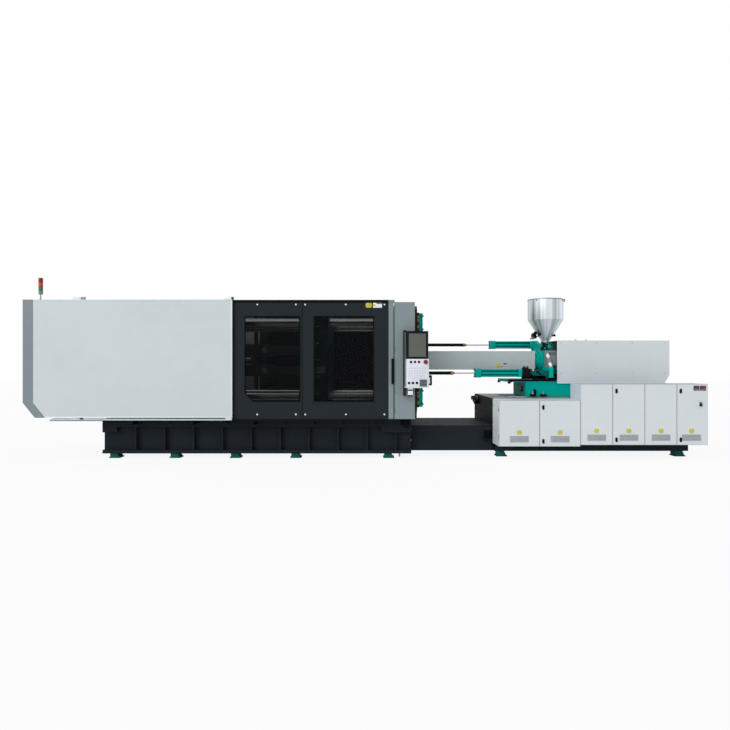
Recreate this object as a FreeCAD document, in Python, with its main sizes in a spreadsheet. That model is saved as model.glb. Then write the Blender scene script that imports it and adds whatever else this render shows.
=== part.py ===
import FreeCAD, Part
import os
import re
import Sketcher

# Horizontal injection moulding machine with a double toggle clamp.
# X runs along the machine towards the injection end, -Y is the operator's side, Z is up.
# The origin lies on the floor, in the middle of the machine's length.

Vector = FreeCAD.Vector
doc = FreeCAD.newDocument("InjectionMouldingMachine")
sheet = doc.addObject("Spreadsheet::Sheet", "Sizes")

# ---------------------------------------------------------------- driving sizes, in millimetres and degrees
SIZES = {
    # heights and long places
    "axisHeight": 1450,             # tie bar and screw axis above the floor
    "mouldFaceX": 380,              # mould face of the fixed platen
    "daylight": 920,                # mould space with the toggle straight
    # clamp base, bridge and feet
    "baseLeft": -3875,
    "baseRight": 683,
    "baseTop": 579,
    "baseHalfWidth": 800,
    "footHeight": 70,
    "topFlange": 118,
    "bottomFlange": 51,
    "flangeReach": 200,
    "webInset": 70,
    "webThickness": 30,
    "deckThickness": 30,
    "ribThickness": 25,
    "ribPitch": 427,
    "firstRib": 473,                # from the base's left end
    "endBlockDrop": 80,
    "leftBlockLength": 215,
    "rightBlockLength": 447,
    "chuteLength": 820,
    "chuteHalfWidth": 400,
    "chuteGap": 40,                 # from the fixed platen's mould face
    "footLength": 160,
    "footWidth": 150,
    "footPad": 18,
    "footTaper": 45,
    "footInset": 91,                # first foot's near edge from the left end
    "footPitch": 893,
    "lastFootInset": 252,           # last foot's near edge from the right end
    "bridgeRight": 1948,
    "bridgeTop": 464,
    "bridgeHalfWidth": 600,
    "bridgeWall": 20,
    "terminalLength": 170,
    "terminalHeight": 166,
    "terminalDepth": 55,
    "terminalInset": 10,
    # injection base
    "injectionFloor": 86,
    "injectionTop": 870,
    "injectionRight": 4850,
    "injectionFront": -660,
    "injectionRear": 880,
    "injectionPlate": 30,
    "injectionBeam": 67,
    "injectionFootInset": 30,
    # platens
    "fixedThickness": 390,
    "fixedHalfWidth": 800,
    "fixedHalfHeight": 800,
    "platenHalfWidth": 760,
    "platenHalfHeight": 770,
    "platenCorner": 60,
    "movingThickness": 250,
    "rearThickness": 380,
    "shoeWidth": 160,
    "railHeight": 41,
    "railWidth": 120,
    "railSpan": 620,
    "bushHalf": 115,
    "bushCorner": 45,
    "bushLength": 200,
    "ribRiseLow": 330,
    "ribRiseHigh": 430,
    "ribDepth": 150,
    "ribSpan": 345,
    "platenRib": 50,
    "locatingRadius": 125,
    "locatingDepth": 60,
    "mouldBoltRadius": 12,
    "mouldBoltDepth": 60,
    "mouldBoltSpan": 350,
    "nozzleWell": 190,
    # tie bars
    "barRadius": 70,
    "barSpan": 550,
    "barRise": 560,
    "barFit": 0.3,
    "retainerHalf": 140,
    "retainerThickness": 92,
    "nutRadius": 130,
    "nutLength": 180,
    "barEndSpare": 60,
    # toggle
    "linkLength": 630,
    "pinRise": 160,
    "earReach": 170,
    "earRadius": 90,
    "earThickness": 55,
    "linkRadius": 95,
    "frontHalf": 150,               # half width of the front links, between the rear links' cheeks
    "cheekThickness": 60,
    "cheekGap": 5,
    "pinRadius": 45,
    "pinFit": 0.05,
    "crossLength": 230,
    "crossLead": 6,                 # angle of the cross pin ahead of the link's centre line
    "crossRadius": 55,
    "crossPinRadius": 32,
    "crossHalf": 45,
    "lugThickness": 45,
    "rearWebStart": 100,
    "rearWebLength": 62,
    "rearWebRise": 60,
    "rearWebThickness": 30,
    "waistStart": 150,              # where the front links narrow, from either pin
    "waistRise": 70,
    "crossheadHalf": 45,
    "crossheadRise": 80,
    "armRise": 50,
    "armTip": 235,
    "guideSpan": 190,
    "guideHalf": 28,
    # closing cylinder
    "cylinderRadius": 150,
    "cylinderLength": 700,
    "cylinderCap": 70,
    "capHalf": 165,
    "flangeHalf": 210,
    "flangeThickness": 60,
    "rodRadius": 55,
    "rodRoom": 15,
    "rodStart": 400,                # from the bore's closed end
    # ejector
    "ejectorThickness": 40,
    "ejectorHalfWidth": 150,
    "ejectorRise": 46,
    "ejectorRodRadius": 25,
    "ejectorGuideHalf": 15,
    "ejectorGuideSpan": 100,
    "ejectorBack": 210,             # plate's back face behind the moving platen's plate
    "ejectorRecess": 20,
    # guards
    "coverFront": 1050,             # cover faces from the machine's centre plane
    "coverDepth": 40,
    "coverWall": 5,
    "coverLeft": -4748,
    "coverRight": -1902,
    "coverBottom": 620,
    "coverTop": 2313,
    "coverChamfer": 172,
    "coverChamferRise": 215,
    "endDepth": 150,
    "railInner": 900,
    "gateDrop": 22,                 # the gate reaches this far below the covers
    "topRail": 30,
    "bottomRail": 28,
    "bracketHeight": 30,
    "bracketLength": 60,
    "bracketPitch": 870,
    "gateFront": 1000,
    "gateThickness": 50,
    "gateLeft": -1888,
    "gateRight": 410,
    "gateSeam": -907,
    "seamWidth": 6,
    "windowBottom": 845,
    "windowTop": 2082,
    "leftWindowStart": -1735,
    "leftWindowEnd": -930,
    "rightWindowStart": -740,
    "rightWindowEnd": 130,
    "windowChamfer": 122,
    "glassThickness": 10,
    "glassInset": 12,
    "handleHeight": 362,
    "handleLow": 1104,
    "handleWidth": 30,
    "handleDepth": 30,
    "postWidth": 60,
    "columnGap": 15,
    "columnRight": 718,
    "lampRadius": 31,
    "lampHeight": 230,
    "lampStem": 87,
    "lampStemRadius": 9,
    "lampFoot": 27,
    "lampFootHeight": 9,
    "lampInset": 68,
    # operator panel
    "panelLeft": 547,
    "panelRight": 897,
    "panelFront": 1200,
    "panelDepth": 90,
    "panelTop": 1853,
    "panelBottom": 1053,
    "panelSplit": 1461,
    "bezelRight": 889,
    "bracketTop": 1870,
    "bracketBottom": 938,
    "bracketWidth": 33,
    "bracketLip": 17,
    "screenWidth": 245,
    "screenHeight": 330,
    "screenDepth": 6,
    "screenLeft": 612,
    "screenBottom": 1490,
    "panelPinRadius": 10,
    "panelBarrel": 15,
    "stopRadius": 25,
    "stopStem": 12,
    "stopHeight": 36,
    "stopCap": 18,
    "stopTravel": 6,
    "stopRoot": 10,
    "buttonRadius": 14,
    "buttonHeight": 8,
    "grabDepth": 45,
    "grabBar": 12,
    # injection unit
    "carriageLeft": 2497,
    "carriageRight": 4640,
    "carriageHalfWidth": 350,
    "carriageTop": 1111,
    "runnerHeight": 19,
    "runnerSpan": 240,
    "runnerWidth": 90,
    "shelfLeft": 2236,
    "shelfThickness": 39,
    "housingLeft": 2830,
    "housingPlate": 60,
    "housingBody": 150,
    "housingHalfWidth": 240,
    "housingRise": 155,
    "saddleInset": 40,
    "throatHalf": 60,
    "throatRadius": 57,
    "throatBore": 50,
    "sensorRadius": 56,
    "throatTop": 1740,
    "hopperInset": 92,              # hopper axis from the housing's face
    "gateKnobRadius": 50,
    "gateKnobLeft": 221,            # from the hopper's axis
    "gateKnobLength": 70,
    "gateKnobRise": 84,
    "gateKnobStem": 9,
    "hopperRadius": 276,
    "hopperWall": 4,
    "hopperCone": 1758,
    "hopperShoulder": 2105,
    "hopperRim": 2432,
    "lidDome": 33,
    "lidGap": 0.5,
    "lidCrown": 85,
    "lidEdge": 8,
    "lidOverlap": 6,
    "lidHinge": 9,
    "lidHingeSpan": 60,
    "screwRadius": 50,
    "barrelRadius": 85,
    "jacketRadius": 95,
    "jacketEnd": 2600,
    "nozzleTip": 450,
    "nozzleRadius": 42,
    "nozzleLength": 200,
    "barrelFlange": 176,
    "barrelFlangeLength": 45,
    "screwLead": 150,               # screw tip from the nozzle's shoulder
    "barrelCoverLeft": 870,
    "barrelCoverRight": 2706,
    "barrelCoverHalf": 160,
    "barrelCoverRise": 148,
    "sheetWall": 4,
    "coverPostHalf": 20,
    "coverPostInset": 300,
    "driveX": 3700,
    "driveThickness": 100,
    "driveHalfWidth": 330,
    "driveRise": 150,
    "motorHalf": 115,
    "motorCorner": 45,
    "motorLength": 380,
    "gearHalf": 160,
    "gearLength": 70,
    "guideBarSpan": 250,
    "guideBarHalf": 35,
    "guideBlockHalf": 78,
    "guideBlockLength": 600,
    "guideBarReach": 450,
    "guideBarRoom": 480,
    "unitCoverLap": 55,             # over the housing's back
    "unitCoverRight": 4729,
    "unitCoverHalfWidth": 370,
    "unitCoverBottom": 1089,
    "unitCoverTop": 1757,
    "unitCoverFoot": 10,            # where the cut corner starts, past the carriage
    "unitCoverChamferRise": 130,
    # carriage cylinders
    "pullSpan": 400,
    "pullRise": 265,
    "pullDrop": 198,
    "upperPullLeft": 2108,
    "lowerPullLeft": 1701,
    "lowerPullRight": 2413,
    "upperSleeveRight": 1656,
    "lowerSleeveRight": 1325,
    "pullTube": 54,
    "pullHead": 70,
    "pullHeadLength": 84,
    "pullCap": 64,
    "pullCapLength": 50,
    "pullTieSpan": 50,
    "pullTieRadius": 9,
    "pullTail": 40,
    "pullRodRadius": 12,
    "pullRodReach": 520,
    "sleeveRadius": 26,
    "couplingRadius": 30,
    "couplingLength": 60,
    # cabinets
    "cabinetFront": 1050,
    "doorThickness": 20,
    "doorGap": 3,
    "cabinetWall": 20,
    "lowerLeft": 1917,
    "lowerSplit": 2497,
    "tallLeft": 3083,
    "tallSplitOne": 3543,
    "tallSplitTwo": 4004,
    "tallSplitThree": 4462,
    "tallRight": 4904,
    "lowerBottom": 210,
    "lowerTop": 870,
    "tallBottom": 231,
    "tallTop": 1104,
    "ventWidth": 272,
    "ventHeight": 79,
    "ventRise": 65,
    "louvreGap": 3,
    "ventProud": 6,
    "latchWidth": 22,
    "latchHeight": 50,
    "latchProud": 8,
    "latchInset": 40,
    "switchX": 4793,
    "switchZ": 815,
    "switchRadius": 32,
    "switchHeight": 16,
    "switchGripHeight": 14,
    "switchGripWidth": 12,
    "switchGripHalf": 30,
    # hydraulic power unit
    "pumpX": 3040,
    "motorFrame": 170,
    "motorFrameCorner": 60,
    "pumpRise": 230,
    "pumpFront": 300,
    "pumpRear": 1190,
    "pumpHalf": 95,
    "pumpLength": 200,
    "standInset": 40,
}

for row, (alias, number) in enumerate(SIZES.items(), start=1):
    sheet.set(f"A{row}", alias)
    sheet.set(f"B{row}", str(number))
    sheet.setAlias(f"B{row}", alias)
doc.recompute()

# ---------------------------------------------------------------- places worked out from the driving sizes
AXIS = "axisHeight"
FIXED_BACK = "(mouldFaceX + fixedThickness)"
MOVING_FACE = "(mouldFaceX - daylight)"
MOVING_BACK = f"({MOVING_FACE} - movingThickness)"
PLATEN_PIN = f"({MOVING_BACK} - earReach)"
REAR_PIN = f"({PLATEN_PIN} - 2 * linkLength)"
KNEE_PIN = f"({REAR_PIN} + linkLength)"
CROSS_PIN = f"({REAR_PIN} + crossLength * cos(crossLead))"
CROSS_RISE = "(pinRise + crossLength * sin(crossLead))"
CROSSHEAD = f"({REAR_PIN} + 2 * crossLength * cos(crossLead))"
REAR_FACE = f"({REAR_PIN} - earReach)"
REAR_BACK = f"({REAR_FACE} - rearThickness)"
BAR_END = f"({REAR_BACK} - nutLength - barEndSpare)"
CHEEK_INNER = "(frontHalf + 2 * cheekGap)"
CHEEK_OUTER = f"({CHEEK_INNER} + cheekThickness)"
RAIL_TOP = "(baseTop + railHeight)"
COLUMN_LEFT = "(gateRight + columnGap)"
GATE_TOP = "(coverTop - topRail)"
GATE_BOTTOM = "(coverBottom - gateDrop)"
THROAT_BLOCK = f"({AXIS} + housingRise)"
HOUSING_MIDDLE = "(housingLeft + housingPlate)"
HOUSING_BACK = f"({HOUSING_MIDDLE} + housingBody)"
HOPPER_X = "(housingLeft + hopperInset)"
COVER_LEFT = f"({HOUSING_BACK} - unitCoverLap)"
BARREL_SHOULDER = "(nozzleTip + nozzleLength)"
RUNNER_TOP = "(injectionTop + runnerHeight)"
PANEL_BACK = "(panelFront - panelDepth)"
PANEL_HINGE_X = "(panelLeft + bracketWidth / 2)"
PANEL_HINGE_Y = f"({PANEL_BACK} + panelBarrel)"

SIDES = {"front": "-1", "rear": "1"}
LEVELS = {"upper": "1", "lower": "-1"}
RIB_COUNT = 10
CROSS_WALLS = (0, 2, 4, 6, 9)           # side ribs that carry on across the base
CLAMP_FEET = 4
BRACKET_COUNT = 5
BAY_COUNT = 4
LOUVRE_COUNT = 4
BUTTON_COUNT = 3
LAMP_SIDES, STEM_SIDES, KNOB_SIDES, HOPPER_SIDES = 16, 6, 24, 36


def expression(text):
    """Write a size expression so that every alias reads its cell in the sheet."""
    def reference(match):
        return f"Sizes.{match[0]}" if match[0] in SIZES else match[0]
    return re.sub(r"[A-Za-z_]\w*", reference, str(text))


def value(text):
    """The present number behind a size expression."""
    number = sheet.evalExpression(expression(text))
    return float(getattr(number, "Value", number))


def place(solid, x="0", y="0", z="0"):
    """Bind a solid's position."""
    for axis, text in zip("xyz", (x, y, z)):
        solid.setExpression(f"Placement.Base.{axis}", expression(text))
    return solid


def block(x, y, z):
    """A block between a low and a high place along each axis."""
    solid = doc.addObject("Part::Box", "Block")
    for side, (low, high) in zip(("Length", "Width", "Height"), (x, y, z)):
        solid.setExpression(side, expression(f"({high}) - ({low})"))
    return place(solid, x[0], y[0], z[0])


TURNS = {
    "x": FreeCAD.Rotation(Vector(0, 1, 0), 90),
    "y": FreeCAD.Rotation(Vector(1, 0, 0), -90),
    "z": FreeCAD.Rotation(),
    "operator": FreeCAD.Rotation(Vector(1, 0, 0), 90),
}


def bar(axis, start, end, radius, x="0", y="0", z="0"):
    """A cylinder along one axis, from its start to its end on that axis."""
    solid = doc.addObject("Part::Cylinder", "Bar")
    solid.Placement = FreeCAD.Placement(Vector(), TURNS[axis])
    solid.setExpression("Radius", expression(radius))
    solid.setExpression("Height", expression(f"({end}) - ({start})"))
    spot = {"x": x, "y": y, "z": z}
    spot[axis] = start
    return place(solid, **spot)


def prism(sides, axis, start, end, radius, x="0", y="0", z="0"):
    """A bar with a regular polygon as its section."""
    solid = doc.addObject("Part::Prism", "Prism")
    solid.Polygon = sides
    solid.Placement = FreeCAD.Placement(Vector(), TURNS[axis])
    solid.setExpression("Circumradius", expression(radius))
    solid.setExpression("Height", expression(f"({end}) - ({start})"))
    spot = {"x": x, "y": y, "z": z}
    spot[axis] = start
    return place(solid, **spot)


def taper(sides, low, high, low_radius, high_radius, x="0", y="0"):
    """An upright solid between two regular polygons, as the common part of turned wedges."""
    wedges = []
    for turn in range(sides // 4):
        wedge = doc.addObject("Part::Wedge", "Wedge")
        upright = FreeCAD.Rotation(Vector(1, 0, 0), 90)
        turned_by = FreeCAD.Rotation(Vector(0, 0, 1), (turn + 0.5) * 360 / sides)
        wedge.Placement = FreeCAD.Placement(Vector(), turned_by.multiply(upright))
        for mark, radius in (("", low_radius), ("2", high_radius)):
            half = f"({radius}) * cos(180 / {sides})"
            for way in "XZ":
                wedge.setExpression(f"{way}{mark}min", expression(f"-({half})"))
                wedge.setExpression(f"{way}{mark}max", expression(half))
        wedge.setExpression("Ymin", expression(low))
        wedge.setExpression("Ymax", expression(high))
        wedges.append(place(wedge, x, y, "0"))
    solid = doc.addObject("Part::MultiCommon", "Taper")
    solid.Shapes = wedges
    return solid


PLANES = {"front": "XZ_Plane", "side": "YZ_Plane", "top": "XY_Plane"}


def new_sketch(body, view):
    """A sketch on one of the body's own origin planes."""
    sketch = body.newObject("Sketcher::SketchObject", "Sketch")
    plane = [item for item in body.Origin.OriginFeatures if item.Role == PLANES[view]][0]
    sketch.AttachmentSupport = [(plane, "")]
    sketch.MapMode = "FlatFace"
    return sketch


def pin_point(sketch, geometry, end, across, up):
    """Hold one point of the sketch at a bound place."""
    for kind, text in (("DistanceX", across), ("DistanceY", up)):
        number = sketch.addConstraint(
            Sketcher.Constraint(kind, -1, 1, geometry, end, value(text)))
        sketch.setExpression(f"Constraints[{number}]", expression(text))


def draw_loop(sketch, corners):
    """A closed outline of straight lines through bound corners."""
    first = sketch.GeometryCount
    points = [Vector(value(across), value(up), 0) for across, up in corners]
    count = len(points)
    for index in range(count):
        sketch.addGeometry(Part.LineSegment(points[index], points[(index + 1) % count]))
    for index, (across, up) in enumerate(corners):
        after = first + (index + 1) % count
        sketch.addConstraint(Sketcher.Constraint("Coincident", first + index, 2, after, 1))
        pin_point(sketch, first + index, 1, across, up)


def signed_number(text):
    """One, with the sign of a size expression."""
    return 1 if value(text) > 0 else -1


def draw_circle(sketch, across, up, radius):
    """A round hole in a sketch."""
    circle = Part.Circle(Vector(value(across), value(up), 0), Vector(0, 0, 1), value(radius))
    geometry = sketch.addGeometry(circle)
    pin_point(sketch, geometry, 3, across, up)
    number = sketch.addConstraint(Sketcher.Constraint("Radius", geometry, value(radius)))
    sketch.setExpression(f"Constraints[{number}]", expression(radius))


def pad(body, sketch, view, low, high):
    """Pad the sketch between two places on the axis that its view looks along."""
    start = f"-({high})" if view == "front" else f"({low})"
    sketch.setExpression("AttachmentOffset.Base.z", expression(start))
    feature = body.newObject("PartDesign::Pad", "Pad")
    feature.Profile = sketch
    feature.setExpression("Length", expression(f"({high}) - ({low})"))
    return body


def plate(view, corners, low, high, loops=(), holes=()):
    """A body padded from one outline with straight-edged and round holes."""
    body = doc.addObject("PartDesign::Body", "Plate")
    sketch = new_sketch(body, view)
    draw_loop(sketch, corners)
    for loop in loops:
        draw_loop(sketch, loop)
    for across, up, radius in holes:
        draw_circle(sketch, across, up, radius)
    return pad(body, sketch, view, low, high)


def link_outline(length, radius):
    """Corners of a link about its first pin: straight edges and ends with cut corners."""
    half = f"({radius} * tan(22.5))"
    return [(f"-{radius}", f"-{half}"), (f"-{half}", f"-{radius}"), (f"{length} + {half}", f"-{radius}"),
            (f"{length} + {radius}", f"-{half}"), (f"{length} + {radius}", half), (f"{length} + {half}",
                                                                                   radius),
            (f"-{half}", radius), (f"-{radius}", half)]


def link_plate(length, radius, low, high, x, z, tilt="0"):
    """A flat link, its first pin at x, z and its far end turned down by the tilt."""
    body = plate("front", link_outline(length, radius), low, high)
    if tilt != "0":
        body.Placement = FreeCAD.Placement(Vector(), FreeCAD.Rotation(Vector(0, signed_number(tilt), 0), 1))
        body.setExpression("Placement.Rotation.Angle", expression(f"abs({tilt})"))
    return place(body, x, "0", z)


def turned(axis, corners, x="0", y="0", z="0"):
    """A round piece: its half section, as places along the axis and radii, turned about the axis."""
    body = doc.addObject("PartDesign::Body", "Turned")
    sketch = new_sketch(body, "front")
    draw_loop(sketch, [(radius, along) for along, radius in corners])
    feature = body.newObject("PartDesign::Revolution", "Revolution")
    feature.Profile = sketch
    feature.ReferenceAxis = (sketch, ["V_Axis"])
    feature.Angle = 360
    body.Placement = FreeCAD.Placement(Vector(), TURNS[axis])
    return place(body, x, y, z)


def fuse(*solids):
    """Solids joined into one."""
    joined = doc.addObject("Part::MultiFuse", "Fuse")
    joined.Shapes = list(solids)
    joined.Refine = True
    return joined


def cut(base, *tools):
    """A solid with one or more tools taken away."""
    result = doc.addObject("Part::Cut", "Cut")
    result.Base = base
    result.Tool = tools[0] if len(tools) == 1 else fuse(*tools)
    result.Refine = True
    return result


def group(*solids):
    """Separate solids that share one node."""
    together = doc.addObject("Part::Compound", "Group")
    together.Links = list(solids)
    return together


def span(sign, low, high):
    """A low and high place on one side of the centre plane."""
    if sign == "1":
        return (f"({low})", f"({high})")
    return (f"-({high})", f"-({low})")


def rectangle(left, right, low, high):
    """Corners of an upright rectangle."""
    return [(left, low), (right, low), (right, high), (left, high)]


def cut_square(half, corner, across, up):
    """Corners of a square with cut corners about a centre."""
    near = f"({half} - {corner})"
    steps = ((f"-{near}", f"-{half}"), (near, f"-{half}"), (half, f"-{near}"), (half, near),
             (near, half), (f"-{near}", half), (f"-{half}", near), (f"-{half}", f"-{near}"))
    return [(f"{across} + {right}", f"{up} + {rise}") for right, rise in steps]


def signed(sign, text):
    """A place on the side that the sign gives."""
    return f"({sign}) * ({text})"


PARTS = {}


def finished(label, solid):
    """Name a sub-part."""
    solid.Label = label
    PARTS[label] = solid
    return solid


# ---------------------------------------------------------------- bases
def clamp_base():
    """Welded base: two side channels with ribs, a deck with a chute, cross plates and end blocks."""
    top, floor = "baseTop", "footHeight"
    under = "(baseTop - topFlange)"
    over = "(footHeight + bottomFlange)"
    pieces = []
    for sign in SIDES.values():
        outer, inner = signed(sign, "baseHalfWidth"), signed(sign, "baseHalfWidth - flangeReach")
        web_out = signed(sign, "baseHalfWidth - webInset")
        web_in = signed(sign, "baseHalfWidth - webInset - webThickness")
        section = [(outer, top), (outer, under), (web_out, under), (web_out, over), (outer, over),
                   (outer, floor), (inner, floor), (inner, over), (web_in, over), (web_in, under),
                   (inner, under), (inner, top)]
        pieces.append(plate("side", section, "baseLeft", "baseRight"))
        face = span(sign, "baseHalfWidth - webInset", "baseHalfWidth - cheekGap")
        for index in range(RIB_COUNT):
            at = f"(baseLeft + firstRib + {index} * ribPitch)"
            pieces.append(block((at, f"{at} + ribThickness"), face, (over, under)))
        flush = span(sign, "baseHalfWidth - webInset", "baseHalfWidth")
        low = f"{under} - endBlockDrop"
        pieces.append(block(("baseLeft", "baseLeft + leftBlockLength"), flush, (low, under)))
        pieces.append(block(("baseRight - rightBlockLength", "baseRight"), flush, (low, under)))
    inside = ("-(baseHalfWidth - webInset - webThickness)", "(baseHalfWidth - webInset - webThickness)")
    deck_low = "(baseTop - deckThickness)"
    pieces.append(block(("baseLeft", "baseRight"), ("flangeReach - baseHalfWidth",
                                                    "baseHalfWidth - flangeReach"),
                        (deck_low, top)))
    for index in CROSS_WALLS:
        at = f"(baseLeft + firstRib + {index} * ribPitch)"
        pieces.append(block((at, f"{at} + ribThickness"), inside, (over, deck_low)))
    pieces.append(block(("baseLeft", "baseLeft + ribThickness"), inside, (over, deck_low)))
    pieces.append(block(("baseRight - ribThickness", "baseRight"), inside, (over, deck_low)))
    chute = block(("mouldFaceX - chuteGap - chuteLength", "mouldFaceX - chuteGap"),
                  ("-chuteHalfWidth", "chuteHalfWidth"), (f"{deck_low} - 1", f"{top} + 1"))
    finished("clamp_base", cut(fuse(*pieces), chute))


def wedge_foot(left, low, high, height):
    """A levelling foot: a pad with a wedge that carries the frame above."""
    outline = [(left, "0"), (f"{left} + footLength", "0"), (f"{left} + footLength", "footPad"),
               (f"{left} + footLength - footTaper / 3", "footPad"), (f"{left} + footLength - footTaper",
                                                                     height),
               (f"{left} + footTaper / 3", height), (f"{left} + footTaper / 3", "footPad"), (left, "footPad")]
    return plate("front", outline, low, high)


def levelling_feet():
    """Feet under both bases, in pairs."""
    feet = []
    clamp = [f"(baseLeft + footInset + {index} * footPitch)" for index in range(CLAMP_FEET)]
    clamp.append("(baseRight - lastFootInset - footLength)")
    for left in clamp:
        for sign in SIDES.values():
            low, high = span(sign, "baseHalfWidth - footPad - footWidth", "baseHalfWidth - footPad")
            feet.append(wedge_foot(left, low, high, "footHeight"))
    ends = ("(bridgeRight + injectionFootInset)", "(injectionRight - injectionFootInset - footLength)")
    for left in ends:
        for low in ("(injectionFront + footPad)", "(injectionRear - footPad - footWidth)"):
            feet.append(wedge_foot(left, low, f"{low} + footWidth", "injectionFloor"))
    finished("levelling_feet", group(*feet))


def bridge_frame():
    """Box frame between the bases, open below, with one cross wall and a terminal box on its front."""
    outer = block(("baseRight", "bridgeRight"), ("-bridgeHalfWidth", "bridgeHalfWidth"),
                  ("injectionFloor", "bridgeTop"))
    middle = "((baseRight + bridgeRight) / 2)"
    inner_y = ("bridgeWall - bridgeHalfWidth", "bridgeHalfWidth - bridgeWall")
    inner_z = ("injectionFloor - 1", "bridgeTop - bridgeWall")
    left = block(("baseRight + bridgeWall", f"{middle} - bridgeWall / 2"), inner_y, inner_z)
    right = block((f"{middle} + bridgeWall / 2", "bridgeRight - bridgeWall"), inner_y, inner_z)
    box_right = "(bridgeRight - terminalInset)"
    box_top = "(bridgeTop - 2 * terminalInset)"
    terminal = block((f"{box_right} - terminalLength", box_right),
                     ("-bridgeHalfWidth - terminalDepth", "-bridgeHalfWidth"),
                     (f"{box_top} - terminalHeight", box_top))
    finished("bridge_frame", fuse(cut(outer, left, right), terminal))


def injection_base_frame():
    """Box frame below the injection unit, with bays open away from the operator and the carriage's rails."""
    outer = block(("bridgeRight", "injectionRight"), ("injectionFront", "injectionRear"),
                  ("injectionFloor", "injectionTop"))
    width = f"((injectionRight - bridgeRight - injectionPlate) / {BAY_COUNT})"
    bays = []
    for index in range(BAY_COUNT):
        left = f"(bridgeRight + injectionPlate + {index} * {width})"
        bays.append(block((left, f"{left} + {width} - injectionPlate"),
                          ("injectionFront + injectionPlate", "injectionRear + 1"),
                          ("injectionFloor + injectionBeam", "injectionTop - injectionPlate")))
    runners = [block(("shelfLeft", "injectionRight"), span(sign, "runnerSpan", "runnerSpan + runnerWidth"),
                     ("injectionTop", RUNNER_TOP)) for sign in SIDES.values()]
    finished("injection_base_frame", fuse(cut(outer, *bays), *runners))


# ---------------------------------------------------------------- platens and tie bars
def bar_places():
    """The four tie bar places, as Y and Z."""
    return [(signed(side, "barSpan"), f"{AXIS} + {signed(level, 'barRise')}")
            for side in SIDES.values() for level in LEVELS.values()]


def platen_outline(half_width, half_height):
    """A rectangle with cut corners about the machine axis."""
    low, high = f"({AXIS} - {half_height})", f"({AXIS} + {half_height})"
    cut_width = f"({half_width} - platenCorner)"
    return [(f"-{cut_width}", low), (cut_width, low), (half_width, f"{low} + platenCorner"),
            (half_width, f"{high} - platenCorner"), (cut_width, high), (f"-{cut_width}", high),
            (f"-{half_width}", f"{high} - platenCorner"), (f"-{half_width}", f"{low} + platenCorner")]


def mould_bolts(face, back):
    """Blind bolt holes around the mould centre, from the mould face."""
    return [bar("x", face, back, "mouldBoltRadius", y=signed(side, "mouldBoltSpan"),
                z=f"{AXIS} + {signed(level, 'mouldBoltSpan')}")
            for side in SIDES.values() for level in LEVELS.values()]


def shoes(left, right, bottom):
    """Sliding shoes between a platen and the rails."""
    return [block((left, right), span(sign, "platenHalfWidth - shoeWidth", "platenHalfWidth"),
                  (RAIL_TOP, bottom))
            for sign in SIDES.values()]


def fixed_platen():
    """Thick platen with the locating bore, the nozzle's well and its feet on the base."""
    bars = [(y, z, "barRadius + barFit") for y, z in bar_places()]
    body = plate("side", platen_outline("fixedHalfWidth", "fixedHalfHeight"), "mouldFaceX", FIXED_BACK,
                 holes=bars)
    feet = [block(("mouldFaceX", FIXED_BACK), span(sign, "fixedHalfWidth - shoeWidth - platenCorner",
                                                   "fixedHalfWidth - platenCorner"),
                  ("baseTop", f"{AXIS} - fixedHalfHeight")) for sign in SIDES.values()]
    seat = "(mouldFaceX + locatingDepth)"
    nozzle = turned("x", [("mouldFaceX - 1", "0"), ("mouldFaceX - 1", "locatingRadius"),
                          (seat, "locatingRadius"),
                          (seat, "nozzleWell"), (f"{FIXED_BACK} + 1", "nozzleWell"), (f"{FIXED_BACK} + 1",
                                                                                      "0")],
                    z=AXIS)
    bolts = mould_bolts("mouldFaceX - 1", "mouldFaceX + mouldBoltDepth")
    finished("fixed_platen", cut(fuse(body, *feet), nozzle, *bolts))


def ears(pin_x, plate_x, inner, z):
    """Two eye plates of a platen and the pin that they hold."""
    outer = f"({inner} + earThickness)"
    towards = "1" if value(plate_x) > value(pin_x) else "-1"
    nose = f"({pin_x} - {signed(towards, 'earRadius')})"
    corner = f"({pin_x} - {signed(towards, 'earRadius * tan(22.5)')})"
    half = "(earRadius * tan(22.5))"
    outline = [(plate_x, f"{z} - earRadius"), (corner, f"{z} - earRadius"), (nose, f"{z} - {half}"),
               (nose, f"{z} + {half}"), (corner, f"{z} + earRadius"), (plate_x, f"{z} + earRadius")]
    plates = [plate("front", outline, *span(sign, inner, outer)) for sign in SIDES.values()]
    return plates + [bar("y", f"-{inner}", inner, "pinRadius", x=pin_x, z=z)]


def pin_height(level):
    """Height of the toggle pins on one level."""
    return f"({AXIS} + {signed(level, 'pinRise')})"


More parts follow.
